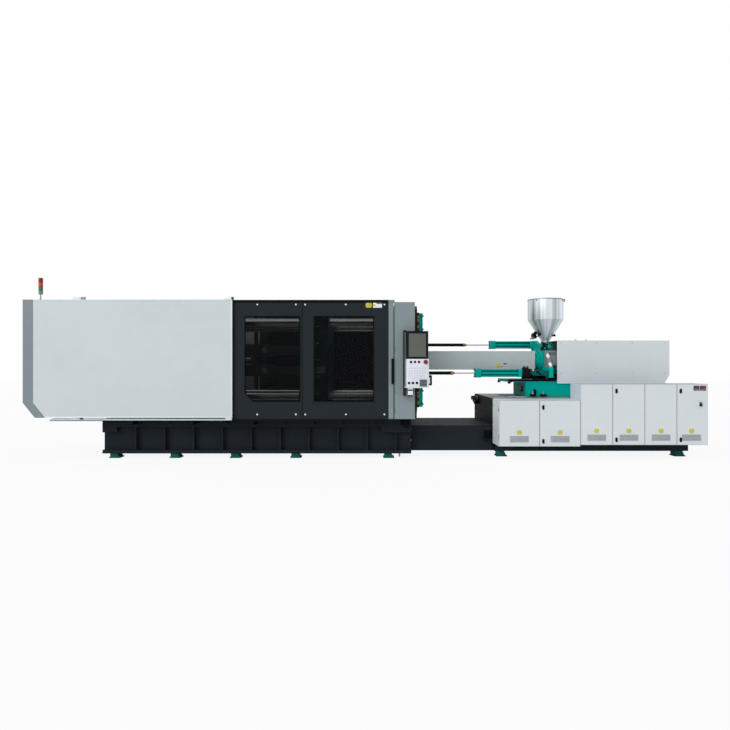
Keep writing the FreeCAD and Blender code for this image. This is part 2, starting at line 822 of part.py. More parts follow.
def moving_platen():
    """Platen with bush housings, ribs, toggle eyes with their pins, ejector guides and sliding shoes."""
    body = plate("side", platen_outline("platenHalfWidth", "platenHalfHeight"), MOVING_BACK, MOVING_FACE)
    pieces = [body]
    for y, z in bar_places():
        pieces.append(plate("side", cut_square("bushHalf", "bushCorner", y, z), f"{MOVING_BACK} - bushLength",
                            MOVING_BACK))
    for sign in SIDES.values():
        low, high = span(sign, "ribSpan", "ribSpan + platenRib")
        outline = [(MOVING_BACK, f"{AXIS} - ribRiseHigh"), (MOVING_BACK, f"{AXIS} + ribRiseHigh"),
                   (f"{MOVING_BACK} - ribDepth", f"{AXIS} + ribRiseLow"),
                   (f"{MOVING_BACK} - ribDepth", f"{AXIS} - ribRiseLow")]
        pieces.append(plate("front", outline, low, high))
        guide = span(sign, "ejectorGuideSpan - ejectorGuideHalf", "ejectorGuideSpan + ejectorGuideHalf")
        pieces.append(block((f"{MOVING_BACK} - ejectorBack - ejectorThickness", MOVING_BACK), guide,
                            (f"{AXIS} - ejectorGuideHalf", f"{AXIS} + ejectorGuideHalf")))
    for level in LEVELS.values():
        pieces += ears(PLATEN_PIN, MOVING_BACK, "(frontHalf + cheekGap)", pin_height(level))
    pieces += shoes(f"{MOVING_BACK} - bushLength", MOVING_FACE, f"{AXIS} - platenHalfHeight")
    tools = mould_bolts(f"{MOVING_FACE} - mouldBoltDepth", f"{MOVING_FACE} + 1")
    tools += [bar("x", f"{MOVING_BACK} - bushLength - 1", f"{MOVING_FACE} + 1", "barRadius + barFit", y=y,
                  z=z)
              for y, z in bar_places()]
    tools.append(bar("x", f"{MOVING_BACK} - 1", f"{MOVING_FACE} + 1", "ejectorRodRadius + barFit", z=AXIS))
    finished("moving_platen", cut(fuse(*pieces), *tools))


def rear_platen():
    """Platen with the rear toggle eyes and their pins, and the tie bars' adjusting nuts behind it."""
    pieces = [plate("side", platen_outline("platenHalfWidth", "platenHalfHeight"), REAR_BACK, REAR_FACE)]
    for level in LEVELS.values():
        pieces += ears(REAR_PIN, REAR_FACE, f"({CHEEK_OUTER} + cheekGap)", pin_height(level))
    pieces += [prism(6, "x", f"{REAR_BACK} - nutLength", REAR_BACK, "nutRadius", y=y, z=z) for y,
               z in bar_places()]
    pieces += shoes(REAR_BACK, REAR_FACE, f"{AXIS} - platenHalfHeight")
    tools = [bar("x", f"{REAR_BACK} - nutLength - 1", f"{REAR_FACE} + 1", "barRadius + barFit", y=y, z=z)
             for y, z in bar_places()]
    tools.append(bar("x", f"{REAR_BACK} - 1", f"{REAR_FACE} + 1", "rodRadius + rodRoom", z=AXIS))
    finished("rear_platen", cut(fuse(*pieces), *tools))


def tie_bars():
    """Four bars from the fixed platen's retainers to behind the adjusting nuts."""
    finished("tie_bars", group(*[bar("x", BAR_END, FIXED_BACK, "barRadius", y=y, z=z) for y,
                                 z in bar_places()]))


def tie_bar_retainers():
    """Square retainers bolted over the bar ends."""
    retainers = [block((FIXED_BACK, f"{FIXED_BACK} + retainerThickness"),
                       (f"{y} - retainerHalf", f"{y} + retainerHalf"), (f"{z} - retainerHalf",
                                                                        f"{z} + retainerHalf"))
                 for y, z in bar_places()]
    finished("tie_bar_retainers", group(*retainers))


def slide_rails():
    """Rails on the clamp base for the shoes of the moving and rear platens."""
    left = f"({REAR_BACK})"
    rails = [block((left, "mouldFaceX - chuteGap"), span(sign, "railSpan", "railSpan + railWidth"),
                   ("baseTop", RAIL_TOP)) for sign in SIDES.values()]
    finished("slide_rails", group(*rails))


# ---------------------------------------------------------------- toggle
def rear_link(level_name, sign):
    """Rear toggle link: two cheeks on the rear platen's pin, joined by two pins and a web."""
    z = pin_height(sign)
    cross_z = f"({AXIS} + {signed(sign, CROSS_RISE)})"
    pieces = [link_plate("linkLength", "linkRadius", *span(side, CHEEK_INNER, CHEEK_OUTER), REAR_PIN, z)
              for side in SIDES.values()]
    inside = (f"-{CHEEK_INNER}", CHEEK_INNER)
    pieces.append(bar("y", *inside, "pinRadius", x=KNEE_PIN, z=z))
    pieces.append(bar("y", *inside, "crossPinRadius", x=CROSS_PIN, z=cross_z))
    web_low = f"{signed(sign, 'rearWebRise')} + ({sign} - 1) / 2 * rearWebThickness"
    pieces.append(block((f"{REAR_PIN} + rearWebStart", f"{REAR_PIN} + rearWebStart + rearWebLength"), inside,
                        (f"{z} + {web_low}", f"{z} + {web_low} + rearWebThickness")))
    bore = bar("y", f"-{CHEEK_OUTER} - 1", f"{CHEEK_OUTER} + 1", "pinRadius + pinFit", x=REAR_PIN, z=z)
    finished(f"rear_link_{level_name}", cut(fuse(*pieces), bore))


def front_link(level_name, sign):
    """Front toggle link: one wide casting with a waist, between the knee pin and the moving platen's pin."""
    z = pin_height(sign)
    half = "(linkRadius * tan(22.5))"
    across = [(f"-linkRadius", half), (f"-{half}", "linkRadius"), (half, "linkRadius"),
              ("waistStart", "waistRise"),
              ("linkLength - waistStart", "waistRise"), (f"linkLength - {half}", "linkRadius"),
              (f"linkLength + {half}", "linkRadius"), ("linkLength + linkRadius", half)]
    outline = across + [(along, f"-({rise})") for along, rise in reversed(across)]
    body = place(plate("front", outline, "-frontHalf", "frontHalf"), KNEE_PIN, "0", z)
    bores = [bar("y", "-frontHalf - 1", "frontHalf + 1", "pinRadius + pinFit", x=x, z=z)
             for x in (KNEE_PIN, PLATEN_PIN)]
    finished(f"front_link_{level_name}", cut(body, *bores))


def cross_link(level_name, sign):
    """Cross link from the crosshead to the rear link, in the middle plane."""
    z = f"({AXIS} + {signed(sign, CROSS_RISE)})"
    body = link_plate("crossLength", "crossRadius", "-crossHalf", "crossHalf", CROSS_PIN, z,
                      signed(sign, "crossLead"))
    bores = [bar("y", "-crossHalf - 1", "crossHalf + 1", "crossPinRadius + pinFit", x=x, z=height)
             for x, height in ((CROSS_PIN, z), (CROSSHEAD, pin_height(sign)))]
    finished(f"cross_link_{level_name}", cut(body, *bores))


def crosshead():
    """Crosshead: block on the piston rod, arms on the guide bars, lugs and pins for the cross links."""
    x = (f"{CROSSHEAD} - crossheadHalf", f"{CROSSHEAD} + crossheadHalf")
    edge = "(crossHalf + cheekGap)"
    lug_outer = f"({edge} + lugThickness)"
    pieces = [block(x, (f"-{lug_outer}", lug_outer), (f"{AXIS} - crossheadRise", f"{AXIS} + crossheadRise")),
              block(x, ("-armTip", "armTip"), (f"{AXIS} - armRise", f"{AXIS} + armRise"))]
    half = "(crossRadius * tan(22.5))"
    for sign in LEVELS.values():
        z = pin_height(sign)
        top, corner = f"({z} + {signed(sign, 'crossRadius')})", f"({z} + {signed(sign, half)})"
        outline = [(x[0], AXIS), (x[1], AXIS), (x[1], corner), (f"{CROSSHEAD} + {half}", top),
                   (f"{CROSSHEAD} - {half}", top), (x[0], corner)]
        pieces += [plate("front", outline, *span(side, edge, lug_outer)) for side in SIDES.values()]
        pieces.append(bar("y", f"-{edge}", edge, "crossPinRadius", x=CROSSHEAD, z=z))
    room = "(guideHalf + pinFit)"
    tools = [block((f"{x[0]} - 1", f"{x[1]} + 1"), span(side, f"guideSpan - {room}", f"guideSpan + {room}"),
                   (f"{AXIS} - {room}", f"{AXIS} + {room}")) for side in SIDES.values()]
    finished("crosshead", cut(fuse(*pieces), *tools))


def closing_cylinder():
    """Closing cylinder behind the rear platen, its piston rod and the crosshead's guide bars."""
    face = f"({REAR_BACK} - flangeThickness)"
    left = f"({face} - cylinderLength)"
    tube = bar("x", left, face, "cylinderRadius", z=AXIS)
    flange = block((face, REAR_BACK), ("-flangeHalf", "flangeHalf"),
                   (f"{AXIS} - flangeHalf", f"{AXIS} + flangeHalf"))
    cap = block((f"{left} - cylinderCap", left), ("-capHalf", "capHalf"),
                (f"{AXIS} - capHalf", f"{AXIS} + capHalf"))
    bore = bar("x", left, f"{REAR_BACK} + 1", "rodRadius + pinFit", z=AXIS)
    finished("clamp_cylinder", cut(fuse(tube, flange, cap), bore))
    finished("piston_rod", bar("x", f"{left} + rodStart", f"{CROSSHEAD} - crossheadHalf", "rodRadius",
                               z=AXIS))
    guides = [block((REAR_FACE, f"{CROSSHEAD} + crossheadHalf"), span(side, "guideSpan - guideHalf",
                                                                      "guideSpan + guideHalf"),
                    (f"{AXIS} - guideHalf", f"{AXIS} + guideHalf")) for side in SIDES.values()]
    finished("crosshead_guides", group(*guides))


def ejector_plate():
    """Ejector bar on its two guides, with the rod through the moving platen."""
    back = f"({MOVING_BACK} - ejectorBack)"
    front = f"({back} + ejectorThickness)"
    room = "(ejectorGuideHalf + barFit)"
    body = block((back, front), ("-ejectorHalfWidth", "ejectorHalfWidth"),
                 (f"{AXIS} - ejectorRise", f"{AXIS} + ejectorRise"))
    guides = [block((f"{back} - 1", f"{front} + 1"), span(sign, f"ejectorGuideSpan - {room}",
                                                          f"ejectorGuideSpan + {room}"),
                    (f"{AXIS} - {room}", f"{AXIS} + {room}")) for sign in SIDES.values()]
    rod = bar("x", front, f"{MOVING_FACE} - ejectorRecess", "ejectorRodRadius", z=AXIS)
    finished("ejector_plate", fuse(cut(body, *guides), rod))


# ---------------------------------------------------------------- guards
def side_cover(sign):
    """Sheet cover of the toggle side: a shallow tray with a cut lower corner."""
    def outline(inset):
        return [(f"coverLeft + coverChamfer + {inset} / 2", f"coverBottom + {inset}"),
                (f"coverRight - {inset}", f"coverBottom + {inset}"), (f"coverRight - {inset}",
                                                                      f"coverTop - {inset}"),
                (f"coverLeft + {inset}", f"coverTop - {inset}"),
                (f"coverLeft + {inset}", f"coverBottom + coverChamferRise + {inset} / 2")]
    low, high = span(sign, "coverFront - coverDepth", "coverFront")
    inner = span(sign, "coverFront - coverDepth - 1", "coverFront - coverWall")
    return cut(plate("front", outline("0"), low, high), plate("front", outline("coverWall"), *inner))


def guards():
    """Side covers, end cover, gate rails and the covers beside the fixed platen."""
    finished("side_covers", group(side_cover("-1"), side_cover("1")))
    left, right = "(coverLeft - endDepth)", "coverLeft"
    shape = [(left, "coverTop"), (left, "coverBottom + coverChamferRise"),
             (f"{left} + coverChamfer", "coverBottom"), ("coverLeft + coverChamfer", "coverBottom"),
             (right, "coverBottom + coverChamferRise"), (right, "coverTop")]
    inner_left = f"({left} + coverWall)"
    hollow = [(inner_left, "coverTop - coverWall"), (inner_left,
                                                     "coverBottom + coverChamferRise + coverWall / 2"),
              (f"{inner_left} + coverChamfer", "coverBottom + coverWall"),
              ("coverLeft + coverChamfer + endDepth", "coverBottom + coverWall"),
              ("coverLeft + endDepth", "coverBottom + coverChamferRise"), ("coverLeft + endDepth",
                                                                           "coverTop - coverWall")]
    finished("end_cover", cut(plate("front", shape, "-coverFront", "coverFront"),
                              plate("front", hollow, "coverWall - coverFront", "coverFront - coverWall")))
    rails = []
    for sign in SIDES.values():
        y = span(sign, "railInner", "coverFront - coverDepth")
        rails.append(block(("coverLeft", COLUMN_LEFT), y, (GATE_TOP, "coverTop")))
        low_rail = block(("coverLeft + coverChamfer + coverDepth", COLUMN_LEFT), y,
                         (f"{GATE_BOTTOM} - bottomRail", GATE_BOTTOM))
        arms = []
        for index in range(BRACKET_COUNT):
            at = f"(baseLeft + firstRib + {index} * bracketPitch)"
            arms.append(block((at, f"{at} + bracketLength"), span(sign, "baseHalfWidth",
                                                                  "coverFront - coverDepth"),
                              (f"{GATE_BOTTOM} - bottomRail - bracketHeight - bottomRail",
                               f"{GATE_BOTTOM} - bottomRail")))
        post_y = span(sign, "railInner - postWidth", "railInner")
        post = block(("coverRight - postWidth", "coverRight"), post_y,
                     (f"{GATE_BOTTOM} - bottomRail", "coverTop"))
        rails.append(fuse(low_rail, post, *arms))
    finished("gate_rails", group(*rails))
    columns = []
    for sign in SIDES.values():
        low, high = span(sign, "fixedHalfWidth", "gateFront")
        inner = span(sign, "fixedHalfWidth - 1", "gateFront - coverWall")
        shell = block((COLUMN_LEFT, "columnRight"), (low, high), (GATE_BOTTOM, GATE_TOP))
        room = block((f"{COLUMN_LEFT} + coverWall", "columnRight - coverWall"), inner,
                     (f"{GATE_BOTTOM} + coverWall", f"{GATE_TOP} - coverWall"))
        columns.append(cut(shell, room))
    finished("platen_covers", group(*columns))


def window_corners():
    """Outlines of the gate's two windows."""
    left = [("leftWindowStart + windowChamfer", "windowBottom"), ("leftWindowEnd", "windowBottom"),
            ("leftWindowEnd", "windowTop"), ("leftWindowStart", "windowTop"),
            ("leftWindowStart", "windowBottom + windowChamfer")]
    return [left, rectangle("rightWindowStart", "rightWindowEnd", "windowBottom", "windowTop")]


def gate(side_name, sign):
    """Sliding gate with two windows, a seam between its panels and a pull handle."""
    low, high = span(sign, "gateFront - gateThickness", "gateFront")
    frame = plate("front", rectangle("gateLeft", "gateRight", GATE_BOTTOM, GATE_TOP), low, high,
                  loops=window_corners())
    seam_y = span(sign, "gateFront - seamWidth", "gateFront + 1")
    seam = block(("gateSeam", "gateSeam + seamWidth"), seam_y, (f"{GATE_BOTTOM} - 1", f"{GATE_TOP} + 1"))
    handle = block(("gateRight - handleWidth", "gateRight"), span(sign, "gateFront",
                                                                  "gateFront + handleDepth"),
                   ("handleLow", "handleLow + handleHeight"))
    finished(f"{side_name}_gate", fuse(cut(frame, seam), handle))
    glass = span(sign, "gateFront - glassInset - glassThickness", "gateFront - glassInset")
    finished(f"{side_name}_gate_windows", group(*[plate("front", corners,
                                                        *glass) for corners in window_corners()]))


def tower_light():
    """Signal tower on the front gate rail, above the end of the cover."""
    spot = {"x": "coverLeft + lampInset", "y": "-(coverFront - lampInset - 2)"}
    foot, lamp = "(coverTop + lampFootHeight)", "(coverTop + lampStem)"
    finished("tower_light", fuse(prism(LAMP_SIDES, "z", "coverTop", foot, "lampFoot", **spot),
                                 prism(STEM_SIDES, "z", foot, lamp, "lampStemRadius", **spot),
                                 prism(LAMP_SIDES, "z", lamp, f"{lamp} + lampHeight", "lampRadius", **spot)))


# ---------------------------------------------------------------- operator panel
def operator_panel():
    """Bracket on the column, swivelling housing, screen, push-buttons and emergency stop."""
    bracket_x = ("panelLeft", "panelLeft + bracketWidth")
    lip_y = ("-panelFront + panelDepth - 2 * panelBarrel", "-panelFront + panelDepth")
    spine = block(bracket_x, (f"-{PANEL_BACK}", "-gateFront"), ("bracketBottom", "bracketTop"))
    lips = [block(bracket_x, lip_y, (low, f"{low} + bracketLip"))
            for low in ("bracketBottom", "(bracketTop - bracketLip)")]
    hinge = {"x": PANEL_HINGE_X, "y": f"-{PANEL_HINGE_Y}"}
    pin = bar("z", "bracketBottom", "bracketTop", "panelPinRadius", **hinge)
    finished("panel_bracket", fuse(spine, pin, *lips))

    body_left = "(panelLeft + bracketWidth + cheekGap)"
    face = "-panelFront"
    body_y = (face, f"-{PANEL_BACK}")
    head = block((body_left, "bezelRight"), body_y, ("panelSplit", "panelTop"))
    pad_box = block((body_left, "panelRight"), body_y, ("panelBottom", "panelSplit"))
    barrel = bar("z", "panelBottom", "panelTop", "panelBarrel - 1", **hinge)
    arm = block((PANEL_HINGE_X, body_left),
                (f"-{PANEL_HINGE_Y} - bracketLip / 4", f"-{PANEL_HINGE_Y} + bracketLip / 4"),
                ("panelBottom", "panelTop"))
    grab_y = (f"-{PANEL_BACK} - 2 * bracketLip", f"-{PANEL_BACK} - bracketLip")
    grab_low, grab_high = "(panelBottom + grabDepth)", "(panelBottom + grabDepth * 4)"
    grab = plate("front", rectangle("panelRight", "panelRight + grabDepth", grab_low, grab_high), *grab_y,
                 loops=[rectangle("panelRight + grabBar", "panelRight + grabDepth - grabBar",
                                  f"{grab_low} + grabBar", f"{grab_high} - grabBar")])
    window = (("screenLeft", "screenLeft + screenWidth"), (face, f"{face} + screenDepth"),
              ("screenBottom", "screenBottom + screenHeight"))
    bore = bar("z", "panelBottom - 1", "panelTop + 1", "panelPinRadius + pinFit", **hinge)
    stop_spot = {"x": "panelRight - grabDepth", "z": "panelSplit - 3 * buttonRadius"}
    stop_room = prism(KNOB_SIDES, "y", f"{face} - 1", f"{face} + stopRoot + stopTravel + barFit",
                      "stopStem + barFit",
                      **stop_spot)
    finished("panel_housing", cut(fuse(head, pad_box, barrel, arm, grab), block(*window), bore, stop_room))
    finished("panel_screen", block(*window))

    buttons = []
    proud = (f"{face} - buttonHeight", face)
    for index in range(BUTTON_COUNT):
        across = f"(panelLeft + 4 * buttonRadius + {index} * 4 * buttonRadius)"
        for half, x, z in (("buttonRadius", across, "(panelBottom + 5 * buttonRadius)"),
                           ("(buttonRadius / 2)", f"({across} + 2 * buttonRadius)",
                            "(panelSplit - 3 * buttonRadius)")):
            buttons.append(block((f"{x} - {half}", f"{x} + {half}"), proud,
                                 (f"{z} - {half}", f"{z} + {half}")))
    selector_x = "(panelRight - 9 * buttonRadius)"
    buttons.append(block((selector_x, f"{selector_x} + 6 * buttonRadius"), proud,
                         ("panelBottom + 2 * buttonRadius", "panelBottom + 8 * buttonRadius")))
    finished("panel_buttons", group(*buttons))
    cap = f"{face} - stopHeight + stopCap"
    finished("emergency_stop", fuse(prism(KNOB_SIDES, "y", cap, f"{face} + stopRoot", "stopStem",
                                          **stop_spot),
                                    prism(KNOB_SIDES, "y", f"{face} - stopHeight", cap, "stopRadius",
                                          **stop_spot)))


# ---------------------------------------------------------------- injection unit
def carriage():
    """Carriage bed on two runners, with the shelf in front and ledges that carry the cover."""
    inside = "(carriageRight - bridgeWall)"
    bed = block(("carriageLeft", "carriageRight"), ("-carriageHalfWidth", "carriageHalfWidth"),
                (RUNNER_TOP, "carriageTop"))
    shelf = block(("shelfLeft", COVER_LEFT), ("-carriageHalfWidth", "carriageHalfWidth"),
                  ("carriageTop", "carriageTop + shelfThickness"))
    ledge = block((COVER_LEFT, inside), ("coverWall - unitCoverHalfWidth", "unitCoverHalfWidth - coverWall"),
                  ("unitCoverBottom", "carriageTop"))
    room = block(("carriageLeft + bridgeWall", inside),
                 ("bridgeWall - carriageHalfWidth", "carriageHalfWidth - bridgeWall"),
                 (f"{RUNNER_TOP} - 1", "carriageTop - bridgeWall"))
    ribs = []
    for index in range(1, BAY_COUNT):
        at = f"(carriageLeft + {index} * (carriageRight - carriageLeft) / {BAY_COUNT})"
        ribs.append(block((at, f"{at} + bridgeWall"), ("-carriageHalfWidth", "carriageHalfWidth"),
                          (RUNNER_TOP, "carriageTop")))
    feet = [block(("carriageLeft", "carriageRight"), span(sign, "runnerSpan", "runnerSpan + runnerWidth"),
                  (RUNNER_TOP, "carriageTop")) for sign in SIDES.values()]
    finished("carriage", fuse(cut(fuse(bed, ledge), room), shelf, *ribs, *feet))


def injection_housing():
    """Housing behind the barrel: wing plate, body with the hopper's throat, saddle and guide blocks."""
    upper_z, lower_z = f"({AXIS} + pullRise)", f"({AXIS} - pullDrop)"
    reach = "(pullSpan + pullHead)"
    wing = [(f"-{reach}", f"{lower_z} - pullHead"), ("-pullSpan + pullHead", f"{lower_z} - pullHead"),
            ("housingHalfWidth", f"{AXIS} - housingRise"), (reach, f"{upper_z} - pullHead"),
            (reach, f"{upper_z} + pullHead"), ("pullSpan - pullHead", f"{upper_z} + pullHead"),
            ("-housingHalfWidth", THROAT_BLOCK), (f"-{reach}", f"{lower_z} + pullHead")]
    front = plate("side", wing, "housingLeft", HOUSING_MIDDLE)
    body_x = (HOUSING_MIDDLE, HOUSING_BACK)
    body = block(body_x, ("-housingHalfWidth", "housingHalfWidth"), (f"{AXIS} - housingRise", THROAT_BLOCK))
    narrow = ("saddleInset - housingHalfWidth", "housingHalfWidth - saddleInset")
    shelf_top = "(carriageTop + shelfThickness)"
    saddle = block(body_x, narrow, (shelf_top, f"{AXIS} - housingRise"))
    base = block((COVER_LEFT, HOUSING_BACK), narrow, ("carriageTop", shelf_top))
    throat = block((f"{HOPPER_X} - throatHalf", f"{HOPPER_X} + throatHalf"), ("-throatHalf", "throatHalf"),
                   (THROAT_BLOCK, "throatTop"))
    sensor = bar("y", narrow[0], "-throatHalf", "sensorRadius", x=HOPPER_X,
                 z=f"({THROAT_BLOCK} + throatTop) / 2")
    blocks = [block((HOUSING_MIDDLE, f"{HOUSING_BACK} + guideBlockLength"),
                    span(side, "guideBarSpan - guideBlockHalf", "guideBarSpan + guideBlockHalf"),
                    (f"{AXIS} - guideBlockHalf", f"{AXIS} + guideBlockHalf")) for side in SIDES.values()]
    bore = bar("x", "housingLeft - 1", f"{HOUSING_BACK} + 1", "screwRadius + pinFit", z=AXIS)
    feed = bar("z", AXIS, "throatTop + 1", "throatBore", x=HOPPER_X)
    room = "(guideBarHalf + pinFit)"
    guide_end = f"({HOUSING_BACK} + guideBlockLength)"
    rooms = [block((f"{guide_end} - guideBarRoom", f"{guide_end} + 1"),
                   span(side, f"guideBarSpan - {room}", f"guideBarSpan + {room}"),
                   (f"{AXIS} - {room}", f"{AXIS} + {room}")) for side in SIDES.values()]
    finished("injection_housing", cut(fuse(front, body, saddle, base, throat, sensor, *blocks), bore, feed,
                                      *rooms))


def barrel_and_screw():
    """Heated barrel with its nozzle and flange, the screw inside, the screw drive and the barrel cover."""
    bore_end = f"({BARREL_SHOULDER} + screwLead)"
    inside = "(screwRadius + pinFit)"
    section = [("nozzleTip", "0"), ("nozzleTip", "nozzleRadius"), (BARREL_SHOULDER, "nozzleRadius"),
               (BARREL_SHOULDER, "jacketRadius"), ("jacketEnd", "jacketRadius"), ("jacketEnd",
                                                                                  "barrelRadius"),
               ("housingLeft - barrelFlangeLength", "barrelRadius"),
               ("housingLeft - barrelFlangeLength", "barrelFlange"), ("housingLeft", "barrelFlange"),
               ("housingLeft", inside), (bore_end, inside), (bore_end, "0")]
    finished("barrel", turned("x", section, z=AXIS))
    finished("screw", bar("x", f"{bore_end} + screwRadius", "driveX", "screwRadius", z=AXIS))

    back = "(driveX + driveThickness)"
    slab = block(("driveX", back), ("-driveHalfWidth", "driveHalfWidth"),
                 (f"{AXIS} - driveRise", f"{AXIS} + driveRise"))
    bars = [block(("driveX - guideBarReach", "driveX"), span(side, "guideBarSpan - guideBarHalf",
                                                             "guideBarSpan + guideBarHalf"),
                  (f"{AXIS} - guideBarHalf", f"{AXIS} + guideBarHalf")) for side in SIDES.values()]
    gear = block((back, f"{back} + gearLength"), ("-gearHalf", "gearHalf"),
                 (f"{AXIS} - gearHalf", f"{AXIS} + gearHalf"))
    motor = plate("side", cut_square("motorHalf", "motorCorner", "0", AXIS), f"{back} + gearLength",
                  f"{back} + gearLength + motorLength")
    finished("screw_drive", fuse(slab, gear, motor, *bars))

    def sleeve(inset):
        half, rise = f"(barrelCoverHalf - {inset})", f"(barrelCoverRise - {inset})"
        return rectangle(f"-{half}", half, f"{AXIS} - {rise}", f"{AXIS} + {rise}")
    outer = plate("side", sleeve("0"), "barrelCoverLeft", "barrelCoverRight", loops=[sleeve("sheetWall")])
    posts = []
    for x in ("(barrelCoverLeft + coverPostInset)", "(barrelCoverRight - coverPostInset)"):
        posts.append(block((f"{x} - coverPostHalf", f"{x} + coverPostHalf"),
                           ("-coverPostHalf", "coverPostHalf"),
                           (f"{AXIS} + jacketRadius + barFit", f"{AXIS} + barrelCoverRise - sheetWall")))
    finished("barrel_cover", fuse(outer, *posts))


def hopper():
    """Stainless hopper on the throat, with its shut-off knob and a hinged domed lid."""
    sides = HOPPER_SIDES
    centre = {"x": HOPPER_X}
    neck = prism(sides, "z", "throatTop", "hopperCone", "throatRadius", **centre)
    cone = taper(sides, "hopperCone", "hopperShoulder", "throatRadius", "hopperRadius", **centre)
    drum = prism(sides, "z", "hopperShoulder", "hopperRim", "hopperRadius", **centre)
    inner = "(hopperRadius - hopperWall)"
    room = [prism(sides, "z", "throatTop - 1", "hopperCone", "throatBore", **centre),
            taper(sides, "hopperCone", "hopperShoulder", "throatBore", inner, **centre),
            prism(sides, "z", "hopperShoulder", "hopperRim + 1", inner, **centre)]
    knob_z = "(hopperCone + gateKnobRise)"
    knob_left = f"({HOPPER_X} - gateKnobLeft)"
    knob_right = f"({knob_left} + gateKnobLength)"
    slope = "((hopperRadius - throatRadius) / (hopperShoulder - hopperCone))"
    wall_x = f"({HOPPER_X} - throatRadius - gateKnobRise * {slope} + hopperWall / 2)"
    knob = prism(KNOB_SIDES, "x", knob_left, knob_right, "gateKnobRadius", z=knob_z)
    stem = prism(STEM_SIDES, "x", knob_right, wall_x, "gateKnobStem", z=knob_z)
    edge = "(hopperRadius + lidOverlap)"
    hinge = {"x": f"{HOPPER_X} + {edge} + lidHinge + 1", "z": "hopperRim + lidEdge / 2"}
    hinge_x = f"({hinge['x']})"
    pin = bar("y", "-lidHingeSpan", "lidHingeSpan", "lidHinge / 2", **hinge)
    straps = [block((f"{HOPPER_X} + hopperRadius - lidHinge", f"{hinge_x} + lidHinge"),
                    span(sign, "lidHingeSpan / 2 + 1", "lidHingeSpan"), ("hopperRim - 3 * lidHinge",
                                                                         "hopperRim - lidGap"))
              for sign in SIDES.values()]
    knuckles = [block((f"{hinge_x} - lidHinge", f"{hinge_x} + lidHinge"),
                      span(sign, "lidHingeSpan / 2 + 1", "lidHingeSpan"),
                      ("hopperRim - lidGap",
                       "hopperRim + lidEdge / 2 + lidHinge")) for sign in SIDES.values()]
    shell = cut(fuse(neck, cone, drum), *room)
    finished("hopper", fuse(shell, knob, stem, pin, *straps, *knuckles))

    rim = prism(sides, "z", "hopperRim", "hopperRim + lidEdge", edge, **centre)
    dome = taper(sides, "hopperRim + lidEdge", "hopperRim + lidDome", edge, "lidCrown", **centre)
    strap = block((f"{HOPPER_X} + hopperRadius - lidHinge", f"{hinge_x} + lidHinge"),
                  ("-lidHingeSpan / 2", "lidHingeSpan / 2"),
                  ("hopperRim", "hopperRim + lidEdge"))
    knuckle = block((f"{hinge_x} - lidHinge", f"{hinge_x} + lidHinge"),
                    ("-lidHingeSpan / 2", "lidHingeSpan / 2"),
                    ("hopperRim + lidEdge / 2 - lidHinge", "hopperRim + lidEdge / 2 + lidHinge"))
    bore = bar("y", "-lidHingeSpan / 2 - 1", "lidHingeSpan / 2 + 1", "lidHinge / 2 + pinFit", **hinge)
    finished("hopper_lid", cut(fuse(rim, dome, strap, knuckle), bore))


def injection_cover():
    """Sheet cover of the screw drive, open below and at the hopper end, with a cut lower corner."""
    def outline(left, inset, floor):
        right = f"(unitCoverRight - {inset})"
        return [(left, floor), (f"carriageRight + unitCoverFoot - {inset}", floor),
                (right, "unitCoverBottom + unitCoverChamferRise"), (right, f"unitCoverTop - {inset}"),
                (left, f"unitCoverTop - {inset}")]
    shell = plate("front", outline(COVER_LEFT, "0", "unitCoverBottom"), "-unitCoverHalfWidth",
                  "unitCoverHalfWidth")
    room = plate("front", outline(f"{COVER_LEFT} - 1", "coverWall", "unitCoverBottom - 1"),
                 "coverWall - unitCoverHalfWidth", "unitCoverHalfWidth - coverWall")
    finished("injection_cover", cut(shell, room))


def carriage_cylinders():
    """Two cylinders that pull the carriage, and their rods, couplings and sleeves on the fixed platen."""
    barrels, rods = [], []
    layout = (("1", f"({AXIS} + pullRise)", "upperPullLeft", "housingLeft", "upperSleeveRight"),
              ("-1", f"({AXIS} - pullDrop)", "lowerPullLeft", "lowerPullRight", "lowerSleeveRight"))
    for sign, z, left, right, sleeve in layout:
        y = signed(sign, "pullSpan")
        head_end, cap_start = f"({left} + pullHeadLength)", f"({right} - pullCapLength)"
        blocks = [block(x, (f"{y} - {half}", f"{y} + {half}"), (f"{z} - {half}", f"{z} + {half}"))
                  for x, half in (((left, head_end), "pullHead"), ((cap_start, right), "pullCap"))]
        tube = bar("x", head_end, cap_start, "pullTube", y=y, z=z)
        ties = [prism(STEM_SIDES, "x", head_end, cap_start, "pullTieRadius",
                      y=f"{y} + {signed(side, 'pullTieSpan')}",
                      z=f"{z} + {signed(level, 'pullTieSpan')}")
                for side in SIDES.values() for level in LEVELS.values()]
        pieces = [*blocks, tube, *ties]
        if right != "housingLeft":
            pieces.append(block((right, "housingLeft"), (f"{y} - pullTail", f"{y} + pullTail"),
                                (f"{z} - pullTail", f"{z} + pullTail")))
        room = bar("x", f"{left} - 1", f"{left} + pullRodReach + pullTail", "pullRodRadius + pinFit", y=y,
                   z=z)
        barrels.append(cut(fuse(*pieces), room))
        joint = f"({sleeve} + couplingLength)"
        rods.append(fuse(bar("x", FIXED_BACK, sleeve, "sleeveRadius", y=y, z=z),
                         prism(STEM_SIDES, "x", sleeve, joint, "couplingRadius", y=y, z=z),
                         bar("x", joint, f"{left} + pullRodReach", "pullRodRadius", y=y, z=z)))
    finished("carriage_cylinders", group(*barrels))
    finished("carriage_rods", group(*rods))


# ---------------------------------------------------------------- cabinets and power unit
DOORS = (("lowerLeft", "lowerSplit", "lower"), ("lowerSplit", "tallLeft", "lower"),
         ("tallLeft", "tallSplitOne", "tall"), ("tallSplitOne", "tallSplitTwo", "tall"),
         ("tallSplitTwo", "tallSplitThree", "tall"), ("tallSplitThree", "tallRight", "tall"))


